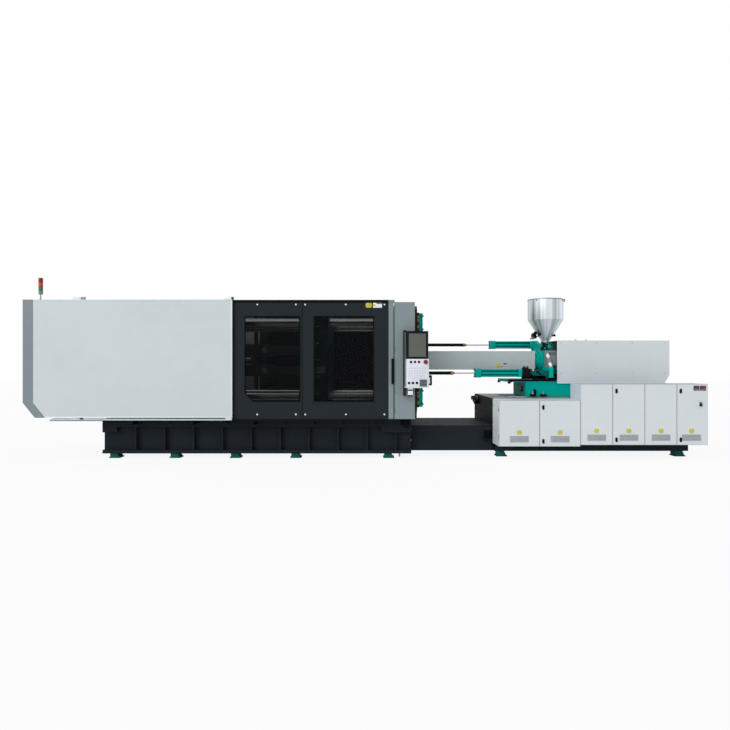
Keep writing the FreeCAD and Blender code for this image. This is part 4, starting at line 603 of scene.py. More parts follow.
class MACHINE_OT_finishes(Step, bpy.types.Operator):
    """Make every paint, metal, plastic and glass, and give them to the frame's own solids"""
    bl_idname = "machine.finishes"
    bl_label = "Paints and metals"

    def execute(self, context):
        tint = colours()
        self.guards(tint)
        self.bases(tint)
        self.clamp(tint)
        self.injection_unit(tint)
        self.cabinets(tint)
        self.panel(tint)
        self.small_parts(tint)
        return {"FINISHED"}

    def guards(self, tint):
        dress(coated("cover paint", tint.cover, 0.38, bump=0.04, dust=0.08), "side_covers")
        dress(coated("injection cover paint", tint.cabinet, 0.4, tone=0.02, dust=0.15), "injection_cover")
        # Lighter paint for rims, caps and brackets; on the rims it is a painted highlight of the bent edges.
        coated("light paint and painted rim highlight", tint.rim, 0.35, tone=0.02, dust=0.1)
        outside, seam = (-FAR, -4.88), 0.008
        door = [zone(tint.column, x=outside, y=(y, y + seam), z=(0.95, 2.25)) for y in (-0.7, 0.7 - seam)]
        door += [zone(tint.column, x=outside, y=(-0.7, 0.7), z=(z, z + seam)) for z in (0.95, 2.25 - seam)]
        grip = zone(tint.plastic, x=outside, y=(-0.07, 0.07), z=(1.55, 1.59))
        dress(coated("end cover paint", tint.end, dust=0.08, zones=(*door, grip)), "end_cover")
        strip = zone(tint.column, x=(0.338, FAR))
        grip = zone(tint.plastic, 0.5, x=(0.375, 0.43), y=(-FAR, -1.0005), z=(1.0, 1.6))
        dress(coated("gate paint", tint.gate, 0.4, tone=0.04, dust=0.03, rubbed=0.04, zones=(strip, grip),
                     shine=0.1), "front_gate", "rear_gate")
        # Light strip on the rails just below the side covers: painted highlight of the covers' bright bottom
        # edges.
        bright_strip_highlight = zone(tint.rim, x=(-FAR, -1.95), z=(0.58, 1.0))
        rail_end = zone(tint.column, x=(0.338, FAR), z=(2.28, FAR))
        dress(coated("rail paint", tint.plastic, 0.5, tone=0.05, dust=0.02, rubbed=0.05,
                     zones=(bright_strip_highlight, rail_end), shine=0.05), "gate_rails")
        dress(coated("column paint", tint.column, tone=0.025, dust=0.08, shine=0.3), "platen_covers")
        dress(pane("front pane", tint.pane, 0.56), "front_gate_windows")
        # The rear panes hide everything behind them: an opaque dark sheet standing in for the shade inside
        # the mould space.
        dress(pane("rear pane", tint.pane, 1.0), "rear_gate_windows")
        dress(coated("lamp body", tint.plastic, 0.4), "tower_light")

    def bases(self, tint):
        top = zone(tint.cabinet_top, 0.5, x=(1.9, FAR), z=(0.8685, FAR))
        terminal = zone(tint.rubber, x=(1.78, 1.9475), y=(-FAR, -0.605), z=(0.2, 0.4))
        # The injection base's left end face in near black: painted shade.
        shaded_end_face = zone(tint.rubber, x=(1.94, 1.952), z=(0.1, 0.8885))
        dress(coated("base paint", tint.base, 0.6, tone=0.06, bump=0.08, dust=0.015, rubbed=0.04,
                     zones=(top, terminal, shaded_end_face), shine=0.03),
              "clamp_base", "bridge_frame", "injection_base_frame")
        dress(coated("bracket paint", tint.plastic, 0.4, tone=0.05, dust=0.05, rubbed=0.1, shine=0.2),
              "panel_bracket")
        dress(coated("foot paint", tint.foot, 0.55, tone=0.08, grain=160, bump=0.2, dust=0.06, rubbed=0.08,
                     shine=0.05), "levelling_feet")

    def clamp(self, tint):
        ends = [zone(tint.plastic, x=(0.72, 0.7695), y=limits) for limits in ((-FAR, -0.79), (0.79, FAR))]
        dress(coated("platen paint", tint.casting, 0.5, tone=0.08, grain=120, bump=0.22, dust=0.1,
                     rubbed=0.15, under=(0.4, 0.41, 0.41), zones=ends, shine=0.2),
              "fixed_platen", "moving_platen", "rear_platen")
        dress(coated("retainer paint", tint.teal, 0.45, tone=0.05, grain=120, bump=0.15, dust=0.05,
                     rubbed=0.1, shine=0.05), "tie_bar_retainers")
        dress(coated("link paint", tint.link, 0.46, tone=0.08, grain=140, bump=0.2, dust=0.15, rubbed=0.3,
                     shine=0.25), "crosshead", "clamp_cylinder", "rear_link_upper", "rear_link_lower",
              "front_link_upper", "front_link_lower", "cross_link_upper", "cross_link_lower")
        dress(bare("ground bar", tint.chrome, 0.2, (2, 90, 90), 0.05), "tie_bars", "crosshead_guides",
              "piston_rod", "screw")
        dress(bare("machined steel", tint.steel, 0.36, (4, 120, 120), 0.1), "slide_rails", "ejector_plate",
              "barrel")

    def injection_unit(self, tint):
        side = zone(tint.housing, 0.5, x=(2.82, FAR), y=(-FAR, -0.2395), z=(1.345, 1.604))
        # The carriage's left end face in darker teal: painted shade.
        end = zone(tint.pipe_teal, x=(2.0, 2.502), z=(0.88, 1.1))
        # Black zone on the housing's top between the wing and the hopper's neck: painted shade between parts.
        painted_gap_shade = zone(tint.plastic, x=(2.82, 2.895), y=(-0.3, -0.03), z=(1.606, FAR))
        # Black band along the housing's lowest part, just above the carriage: painted shade under the
        # housing.
        foot = zone(tint.plastic, x=(2.895, FAR), z=(1.1502, 1.24))
        dress(coated("unit paint", tint.teal, 0.5, tone=0.05, grain=110, bump=0.12, dust=0.03, rubbed=0.05,
                     zones=(side, end, painted_gap_shade, foot), shine=0.03),
              "carriage", "injection_housing", "screw_drive")
        coated("deep teal paint and painted recess shade", tint.deep_teal_and_shade, 0.5, tone=0.06, grain=110, bump=0.12, dust=0.03, shine=0.05)
        coated("cylinder paint", tint.pipe_teal, 0.4, tone=0.05, bump=0.08, dust=0.02, shine=0.08)
        coated("cast teal", tint.teal, 0.5, tone=0.06, grain=130, bump=0.18, dust=0.03, rubbed=0.05,
               shine=0.04)
        dress(coated("pump paint", tint.plastic, 0.45, tone=0.08, grain=120, bump=0.15, dust=0.15, shine=0.3),
              "power_unit")
        dress(coated("barrel cover paint", tint.barrel_cover, 0.36, dust=0.06), "barrel_cover")
        dress(bare("brushed stainless", tint.stainless, 0.44, (3.4, 3.4, 1), 0.55, dust=0.01, stain=0.3,
                   axis=HOPPER), "hopper")
        dress(bare("polished stainless", tint.stainless, 0.3, (40, 40, 40), 0.06, dust=0.01, stain=0.3),
              "hopper_lid")

    def cabinets(self, tint):
        lid = zone(tint.cabinet_top, x=(3.08, FAR), z=(1.1015, FAR))
        dress(coated("cabinet paint", tint.cabinet, 0.4, tone=0.02, bump=0.06, dust=0.08, zones=(lid,)),
              "cabinets", *[f"cabinet_door_{number}" for number in DOORS])
        coated("vent paint", tint.vent, 0.5, tone=0.04)

    def panel(self, tint):
        dark = zone(tint.plastic, 0.45, z=(1.461, FAR))
        handle = zone(tint.plastic, 0.5, x=(0.8975, FAR))
        swivel = zone(tint.rubber, 0.5, x=(-FAR, 0.562))
        swivel_side = zone(tint.column, 0.5, x=(0.562, 0.5795), z=(1.07, 1.84))
        dress(coated("panel shell", tint.keypad, 0.45, tone=0.02, grain=400, bump=0.1, dust=0.05,
                     zones=(dark, handle, swivel, swivel_side), shine=0.15), "panel_housing")
        dress(coated("screen glass", tint.screen, 0.12, tone=0.12, bump=0.0, dust=0.0, gloss=0.4, glow=0.08,
                     shine=0.2), "panel_screen")
        dress(coated("stop red", tint.red, 0.3, tone=0.04, dust=0.02, gloss=0.1, shine=0.2), "emergency_stop")
        dress(coated("black plastic", tint.plastic, tone=0.06, grain=300, bump=0.1, dust=0.04, shine=0.12),
              "panel_buttons", "main_switch")
        coated("key film", tint.key, 0.4, dust=0.0)

    def small_parts(self, tint):
        coated("rubber", tint.rubber, 0.7, tone=0.08, grain=250, bump=0.15, dust=0.03, shine=0.06)
        coated("soft black", tint.rubber, 0.35, tone=0.1, bump=0.06, dust=0.03, shine=0.08)
        coated("white plastic", tint.white, 0.35, tone=0.02, dust=0.05, gloss=0.2)
        for name, colour in (("yellow plate", tint.yellow), ("red plate", tint.red)):
            coated(name, colour, 0.4, tone=0.05, dust=0.05)
        for name, colour in (("red lens", tint.red), ("orange lens", tint.amber), ("green lens", tint.green)):
            coated(name, colour, 0.2, dust=0.0, gloss=0.3, glow=0.06, shine=0.2)
        bare("bolt steel", tint.steel, 0.32, (60, 60, 60), 0.12)
        bare("chromed rod", tint.chrome, 0.16, (1.5, 80, 80), 0.03)
        bare("brass", tint.brass, 0.3, (60, 60, 60), 0.1)
        bare("bronze", tint.bronze, 0.35, (60, 60, 60), 0.15)


class MACHINE_OT_side_covers(Step, bpy.types.Operator):
    """Rims, screw caps and guide brackets with rollers of the light side covers; the rims are painted lighter
    as a highlight on the covers' bent edges
    """
    bl_idname = "machine.side_covers"
    bl_label = "Side covers"

    def execute(self, context):
        low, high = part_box("side_covers")
        rim, proud = sizes().rim, sizes().proud
        for side, name in zip(BOTH, ("front", "rear")):
            face = side * high.y
            near, far = face - side * 0.002, face + side * proud
            piece = Piece(f"cover_trims_{name}")
            # Rims on the right, bottom and top edges, in the lighter paint: painted highlight on the covers'
            # bent edges.
            piece.box((high.x - rim, near, low.z), (high.x, far, high.z), "light paint and painted rim highlight", 0.0015)
            piece.box((low.x + 0.172, near, low.z), (high.x - rim, far, low.z + rim), "light paint and painted rim highlight", 0.0015)
            piece.box((low.x, near, high.z - rim / 2), (high.x - rim, far, high.z), "light paint and painted rim highlight", 0.0015)
            self.brackets(piece, face, side, low.z + 0.003, high.z - 0.004)
            for across in (-4.55, -3.9, -3.25, -2.6, -2.0):
                for up in (high.z - 0.055, low.z + 0.055):
                    piece.cap((across, face, up), Y * side, 0.007, "light paint and painted rim highlight")
            piece.done("base")
        return {"FINISHED"}

    def brackets(self, piece, face, side, bottom, top):
        """Guide brackets with their rollers above and below a cover."""
        seat = face - side * 0.03
        outer, inner = face - side * 0.01, face - side * 0.045
        piece.box((-4.19, seat - 0.02, top), (-4.07, seat + 0.02, 2.352), "light paint and painted rim highlight", 0.006, 3)
        piece.bar((-4.07, seat, 2.336), (-4.015, seat, 2.336), 0.019, "vent paint", edge=0.003)
        piece.bar((-4.05, seat, top), (-4.05, seat, 2.34), 0.01, "bolt steel", 16, 0.001)
        piece.box((-4.21, outer, 0.604), (-4.09, inner, bottom), "light paint and painted rim highlight", 0.004, 3)
        piece.bar((-4.09, seat, 0.61), (-4.055, seat, 0.61), 0.016, "soft black", edge=0.003)
        piece.box((-2.02, seat - 0.02, top), (-1.915, seat + 0.02, 2.338), "light paint and painted rim highlight", 0.004, 3)
        for half, radius, finish, sides, edge in ((0.014, 0.022, "soft black", 24, 0.004),
                                                  (0.018, 0.007, "bolt steel", 12, 0.001)):
            piece.bar((-1.905, seat - half, 2.333), (-1.905, seat + half, 2.333), radius, finish, sides, edge)
        piece.box((-2.0, outer, 0.584), (-1.91, inner, bottom), "light paint and painted rim highlight", 0.004, 3)


class MACHINE_OT_tower_light(Step, bpy.types.Operator):
    """Signal tower with its three lenses"""
    bl_idname = "machine.tower_light"
    bl_label = "Signal tower"

    def execute(self, context):
        low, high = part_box("tower_light")
        centre = Vector(((low.x + high.x) / 2, (low.y + high.y) / 2, 0))
        piece = Piece("signal_tower")

        def drum(bottom, top, radius, finish, edge=0.003):
            piece.bar(centre + Z * bottom, centre + Z * top, radius, finish, 40, edge)
        drum(low.z, low.z + 0.009, 0.027, "black plastic")
        drum(low.z + 0.009, low.z + 0.088, 0.0085, "bolt steel", 0.001)
        drum(low.z + 0.082, low.z + 0.13, 0.0295, "end cover paint")
        for finish, bottom, top in (("green lens", 0.132, 0.192), ("orange lens", 0.196, 0.252),
                                    ("red lens", 0.256, 0.31)):
            drum(low.z + bottom, low.z + top, 0.0305, finish, 0.002)
            for index in range(4):
                at = low.z + bottom + 0.01 + index * (top - bottom - 0.02) / 3
                rib = [(0.0303, at), (0.031, at + 0.002), (0.0303, at + 0.004), (0.029, at + 0.002)]
                piece.hoop(rib, centre, finish, steps=40)
        for bottom in (0.1915, 0.2515):
            drum(low.z + bottom, low.z + bottom + 0.005, 0.0295, "black plastic", 0.001)
        drum(low.z + 0.309, high.z, 0.03, "black plastic")
        piece.done("base", replaces=["tower_light"])
        return {"FINISHED"}


class MACHINE_OT_gates(Step, bpy.types.Operator):
    """Window gaskets, screw caps, plates, seams and grips of both sliding gates"""
    bl_idname = "machine.gates"
    bl_label = "Sliding gates"

    def execute(self, context):
        gasket, cap = sizes().gasket, sizes().cap
        bottom, top, cut = 0.845, 2.082, 0.122
        left_pane = [(-1.735 + cut, bottom), (-0.93, bottom), (-0.93, top), (-1.735, top),
                     (-1.735, bottom + cut)]
        right_pane = rectangle(-0.74, 0.13, bottom, top)
        for side, name in zip(BOTH, ("front", "rear")):
            low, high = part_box(f"{name}_gate")
            face = side * GATE_FACE
            inside = face - side * 0.01
            piece = Piece(f"{name}_gate_trims")
            near, far = sorted((face - side * 0.012, face + side * 0.003))
            for outline in (left_pane, right_pane):
                piece.frame(outline, gasket, near, far, "rubber")
            for across in (-1.55, -0.995, -0.861, -0.276, 0.28):
                for up in (2.247, 0.665):
                    piece.cap((across, face, up), Y * side, cap, "white plastic")
            rim = high.z - 0.012
            for left, right, proud, end in ((-0.9095, -0.9045, 0.0012, high.z - 0.002),
                                            (0.336, 0.3395, 0.001, rim)):
                piece.box((left, inside, low.z + 0.002), (right, face + side * proud, end), "rubber", 0.0005)
            piece.box((low.x, inside, rim), (0.336, face + side * 0.002, high.z), "soft black", 0.001)
            self.plates(piece, face, side)
            self.grip(piece, face, side)
            for up in (0.72, 2.19):
                piece.box((low.x + 0.02, face - side * 0.05, up),
                          (low.x + 0.1, face - side * 0.048, up + 0.06), "bolt steel", 0.0005)
            piece.done(f"{name}_gate_unit")
        return {"FINISHED"}

    def plates(self, piece, face, side):
        """Two plain plates at the upper corner, with their colour fields."""
        plate_face = sorted((face, face + side * 0.0015))
        field_face = sorted((face + side * 0.0015, face + side * 0.0022))
        piece.flat(rectangle(0.01, 0.098, 2.2, 2.272, 0.02), *plate_face, "yellow plate", edge=0.0005)
        piece.flat(rectangle(0.116, 0.245, 2.2, 2.272, 0.006), *plate_face, "white plastic", edge=0.0005)
        piece.flat(rectangle(0.165, 0.243, 2.255, 2.27), *field_face, "red plate", edge=0)
        piece.flat(rectangle(0.12, 0.15, 2.22, 2.25, 0.008), *field_face, "yellow plate", edge=0)

    def grip(self, piece, face, side):
        """A bowed pull handle on two feet."""
        out = face + side * 0.031
        for bottom, top in ((1.108, 1.148), (1.428, 1.467)):
            piece.box((0.379, face - side * 0.001, bottom), (0.411, out, top), "soft black", 0.008, 4)
        piece.box((0.3795, face + side * 0.0005, 1.112), (0.4105, out, 1.463), "soft black", 0.01, 4)


class MACHINE_OT_platen_covers(Step, bpy.types.Operator):
    """Hinges and screws of the grey covers, bronze plates and retainers' bolts beside the fixed platen"""
    bl_idname = "machine.platen_covers"
    bl_label = "Platen covers and retainers"

    def execute(self, context):
        piece = Piece("platen_cover_fittings")
        for side in BOTH:
            hinge = side * (GATE_FACE + 0.001)
            for up in (0.72, 1.0, 1.6, 2.2):
                piece.bar((0.4335, hinge, up - 0.03), (0.4335, hinge, up + 0.03), 0.006, "end cover paint",
                          16, 0.001)
            for up in (0.66, 2.25):
                for across in (0.47, 0.68):
                    piece.cap((across, side * GATE_FACE, up), Y * side, 0.008, "column paint")
        for side in BOTH:
            foot = (0.585, side * 0.82, 0.5)
            piece.bar(foot, (0.585, side * 0.82, 0.6), 0.052, "rubber", 32, 0.006)
            piece.bar(foot, (0.645, side * 0.83, 0.49), 0.045, "rubber", 32, 0.01)
        piece.done("base")

        parts = Piece("tie_bar_fittings")
        for side, level in CORNERS:
            self.retainer(parts, side, level)
        parts.done("base")
        return {"FINISHED"}

    def retainer(self, parts, side, level):
        """Bolts, end cap, hinge lugs and bronze strip of one tie bar's retainer."""
        low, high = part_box("tie_bar_retainers")
        y, z = side * TIE_BAR_SIDE, CENTRE_LINE + level * TIE_BAR_RISE
        for across in (-0.1, 0.1):
            for up in (-0.1, 0.1):
                parts.bolt((high.x, y + across, z + up), X, 0.017, "soft black")
        parts.stud((high.x, y, z), X, 0.012, 0.062, "ground bar", 40, 0.003)
        parts.stud((high.x, y, z), X, 0.007, 0.082, "retainer paint", 40)
        edge = side * 0.69
        for up in (z - 0.11, z + 0.09):
            parts.box((high.x - 0.03, edge - side * 0.004, up),
                      (high.x + 0.012, edge + side * 0.03, up + 0.02), "retainer paint")
            parts.bolt((high.x - 0.008, edge + side * 0.018, up + 0.02), Z, 0.01, "soft black")
        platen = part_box("fixed_platen")[1].x
        parts.box((platen - 0.003, side * 0.775, z - 0.14), (low.x + 0.026, side * 0.79, z + 0.14), "bronze")
        for up in (-0.075, 0.03, 0.075):
            parts.bar((platen - 0.001, side * 0.79, z + up), (platen + 0.022, side * 0.79, z + up), 0.011,
                      "brass", 16)
        for up in (-0.125, -0.02, 0.125):
            parts.box((platen - 0.003, side * 0.772, z + up - 0.014),
                      (platen + 0.03, side * 0.797, z + up + 0.014), "soft black")


class MACHINE_OT_operator_panel(Step, bpy.types.Operator):
    """Bezel, screen border, membrane keys, push-buttons and emergency stop of the panel"""
    bl_idname = "machine.operator_panel"
    bl_label = "Operator panel"

    def execute(self, context):
        self.trims()
        self.push_buttons()
        self.emergency_stop()
        return {"FINISHED"}

    def trims(self):
        low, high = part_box("panel_screen")
        face = PANEL_FACE
        piece = Piece("panel_trims")
        piece.frame(rectangle(0.586, 0.886, 1.466, 1.849, 0.008), 0.012, face - 0.004, face, "black plastic")
        piece.frame(rectangle(low.x - 0.006, high.x + 0.006, low.z - 0.006, high.z + 0.006, 0.004), 0.007,
                    face - 0.0035, face + 0.001, "soft black")
        piece.flat(rectangle(0.592, 0.889, 1.06, 1.456, 0.006), face - 0.0022, face, "panel shell",
                   edge=0.0006)
        pitch = 0.036
        for row in range(5):
            for column in range(7):
                x, z = 0.612 + column * pitch, 1.345 - row * pitch
                piece.flat(rectangle(x, x + 0.026, z - 0.024, z, 0.003), face - 0.0034, face - 0.002,
                           "key film")
        piece.flat(rectangle(0.612, 0.7, 1.374, 1.385, 0.002), face - 0.003, face - 0.002, "key film",
                   edge=0)
        piece.frame(rectangle(0.768, 0.868, 1.074, 1.172, 0.004), 0.006, face - 0.0065, face - 0.002,
                    "end cover paint")
        for column in range(4):
            for row in range(4):
                x, z = 0.7805 + column * 0.02, 1.0865 + row * 0.02
                piece.flat(rectangle(x, x + 0.012, z, z + 0.012, 0.002), face - 0.0095, face - 0.0072,
                           "end cover paint")
        for bottom, top in ((0.955, 1.01), (1.03, 1.0535)):
            piece.box((0.604, -1.175, bottom), (0.674, -1.13, top), "white plastic", 0.005, 3)
        for x, bottom, top, radius, sides in ((0.64, 1.0, 1.035, 0.014, 20), (0.625, 0.93, 0.956, 0.009, 16),
                                              (0.655, 0.93, 0.956, 0.009, 16)):
            piece.bar((x, -1.15, bottom), (x, -1.15, top), radius, "black plastic", sides)
        for left, bottom, top in ((0.8975, 1.089, 1.113), (0.8975, 1.201, 1.225), (0.916, 1.089, 1.225)):
            piece.box((left, -1.19, bottom), (0.942, -1.15, top), "soft black", 0.006, 3)
        for x in (0.602, 0.868):
            for z in (1.475, 1.84, 1.07):
                piece.cap((x, face - 0.003, z), -Y, 0.004, "bolt steel")
        piece.done("operator_panel")

    def push_buttons(self):
        keys = Piece("panel_push_buttons")
        for index in range(3):
            for radius, x, z in ((0.0165, 0.617, 1.123), (0.0155, 0.645, 1.419)):
                spot = Vector((x + index * 0.056, PANEL_FACE, z))
                keys.stud(spot, -Y, 0.0035, radius + 0.002, "black plastic", 28, 0.001)
                keys.stud(spot, -Y, 0.01, radius, "soft black", 28)
        keys.box((0.77, PANEL_FACE - 0.0076, 1.076), (0.866, PANEL_FACE, 1.17), "link paint", 0.002)
        keys.done("operator_panel", replaces=["panel_buttons"])

    def emergency_stop(self):
        low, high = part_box("emergency_stop")
        centre = Vector(((low.x + high.x) / 2, 0, (low.z + high.z) / 2))
        stop = Piece("emergency_stop_button")
        stop.turned([(0.0, high.y), (0.012, high.y), (0.012, -1.218), (0.0245, -1.218), (0.025, -1.221),
                     (0.0238, -1.232), (0.018, -1.2355), (0.0, -1.236)], centre, "stop red", "y")
        stop.done("stop_button", replaces=["emergency_stop"])
        collar = Piece("emergency_stop_collar")
        collar.hoop([(0.014, PANEL_FACE - 0.004), (0.029, PANEL_FACE - 0.004), (0.031, PANEL_FACE),
                     (0.014, PANEL_FACE)], centre, "soft black", "y", 40)
        collar.done("operator_panel")


class MACHINE_OT_clamp(Step, bpy.types.Operator):
    """Bolts, tie rods, ports and pin caps of the closing cylinder, the platens and the toggle"""
    bl_idname = "machine.clamp"
    bl_label = "Clamp fittings"

    def execute(self, context):
        self.rear_platen()
        self.moving_platen()
        self.rear_link("upper", "rear_link_up")
        self.rear_link("lower", "rear_link_low")
        return {"FINISHED"}

    def rear_platen(self):
        """Flange bolts, tie rods and ports of the closing cylinder, and bolts of the adjusting nuts."""
        rear = Piece("closing_cylinder_fittings")
        low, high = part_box("clamp_cylinder")
        for side, level in CORNERS:
            y, z = side * 0.135, CENTRE_LINE + level * 0.135
            rear.bolt((high.x - 0.06, side * 0.165, CENTRE_LINE + level * 0.165), -X, 0.02)
            rear.bar((low.x + 0.004, y, z), (high.x - 0.055, y, z), 0.014, "ground bar", 16, 0.001)
            rear.bolt((low.x + 0.002, y, z), -X, 0.02)
        for x in (low.x + 0.035, high.x - 0.09):
            rear.bar((x, 0, 1.58), (x, 0, 1.645), 0.028, "bolt steel", 24, 0.003)
            rear.bar((x, 0, 1.64), (x, 0, 1.665), 0.034, "bolt steel", 6, 0.003)
        nut_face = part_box("rear_platen")[0].x
        for side, level in CORNERS:
            centre = (nut_face, side * TIE_BAR_SIDE, CENTRE_LINE + level * TIE_BAR_RISE)
            for spot in ring(centre, "x", 0.101, 6, 0.26):
                rear.bolt(spot, -X, 0.009)
        rear.done("rear_platen_unit")

    def moving_platen(self):
        """Side bolts and a plain plate on each side of the moving platen."""
        moving = Piece("moving_platen_fittings")
        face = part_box("moving_platen")[1].x
        for side in BOTH:
            for up in (-0.5, -0.25, 0.0, 0.25, 0.5):
                moving.bolt((face - 0.16, side * 0.76, CENTRE_LINE + up), Y * side, 0.012)
            moving.box((face - 0.2, side * 0.755, 1.25), (face - 0.06, side * 0.775, 1.35), "bolt steel")
        moving.done("moving_platen_unit")

    def rear_link(self, level, body):
        """Bolted end caps of a rear link's pins."""
        low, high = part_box(f"rear_link_{level}")
        link = Piece(f"rear_link_{level}_caps")
        for x in (low.x + 0.095, high.x - 0.095):
            for side in BOTH:
                spot = Vector((x, side * high.y, (low.z + high.z) / 2))
                link.stud(spot, Y * side, 0.006, 0.05, "bolt steel", 36)
                for seat in ring(spot + Y * side * 0.006, "y", 0.032, 3):
                    link.bolt(seat, Y * side, 0.006)
        link.done(body)


class MACHINE_OT_bases(Step, bpy.types.Operator):
    """Bolts, boxes and levelling screws of the clamp base, the bridge and the injection base"""
    bl_idname = "machine.bases"
    bl_label = "Bases"

    def execute(self, context):
        self.clamp_base()
        self.levelling_screws()
        self.bridge()
        self.injection_base()
        return {"FINISHED"}

    def clamp_base(self):
        piece = Piece("clamp_base_fittings")
        first, pitch = -3.302, 0.427
        for side in BOTH:
            face = side * BASE_FACE
            for index in range(10):
                piece.bolt((first + index * pitch, face, 0.52), Y * side, 0.012, "soft black")
            piece.box((-2.275, face - side * 0.002, 0.535), (-2.1, face + side * 0.012, 0.575), "base paint")
            for x in (-2.25, -2.125):
                piece.bolt((x, face + side * 0.012, 0.555), Y * side, 0.008)
            piece.bar((-3.79, side * 0.78, 0.579), (-3.79, side * 0.78, 0.6), 0.02, "light paint and painted rim highlight", 24, 0.004)
            for z in (0.25, 0.42):
                piece.bolt((0.684, side * 0.66, z), X, 0.014)
        piece.done("base")

    def levelling_screws(self):
        feet = Piece("levelling_screws")
        first, pitch, last = -3.704, 0.893, 0.511
        for x in (*[first + pitch * index for index in range(4)], last):
            for side in BOTH:
                y = side * 0.76
                feet.bar((x, y, 0.02), (x, y, 0.118), 0.012, "bolt steel", edge=0.001)
                feet.bar((x, y, 0.07), (x, y, 0.09), 0.022, "bolt steel", 6)
        feet.done("base")

    def bridge(self):
        """Side bolts of the bridge frame, and the terminal box with its glands."""
        low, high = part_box("bridge_frame")
        box_face = -0.655
        bridge = Piece("bridge_fittings")
        for side in BOTH:
            for x in (low.x + 0.03, high.x - 0.03):
                for z in (0.17, 0.3, 0.41):
                    bridge.bolt((x, side * 0.6, z), Y * side, 0.011, "soft black")
        bridge.frame(rectangle(1.785, 1.945, 0.225, 0.385, 0.004), 0.01, box_face - 0.004, box_face,
                     "soft black")
        for x in (1.81, 1.85, 1.89):
            bridge.bar((x, -0.625, 0.385), (x, -0.625, 0.415), 0.012, "bolt steel")
            bridge.bar((x, -0.625, 0.41), (x, -0.625, 0.445), 0.0085, "rubber", 16)
        bridge.done("base")

    def injection_base(self):
        """Bolts, socket box and pipe ends on the injection base's end."""
        unit = Piece("injection_base_fittings")
        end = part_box("injection_base_frame")[0].x
        for z in (0.2, 0.38, 0.56, 0.74):
            for y in (-0.6, 0.82):
                unit.bolt((end, y, z), -X, 0.011)
        unit.box((end - 0.022, 0.5, 0.72), (end, 0.84, 0.84), "soft black", 0.004)
        unit.box((end - 0.06, -0.655, 0.3), (end, -0.5, 0.44), "soft black", 0.006)
        for y in (-0.62, -0.58, -0.54):
            unit.bar((end - 0.03, y, 0.44), (end - 0.03, y, 0.48), 0.012, "black plastic", 16)
        for y, z in ((0.8, 0.8), (0.66, 0.77), (0.56, 0.74)):
            unit.bar((end - 0.075, y, z), (end - 0.02, y, z), 0.036, "soft black", 24, 0.006)
        unit.done("base")


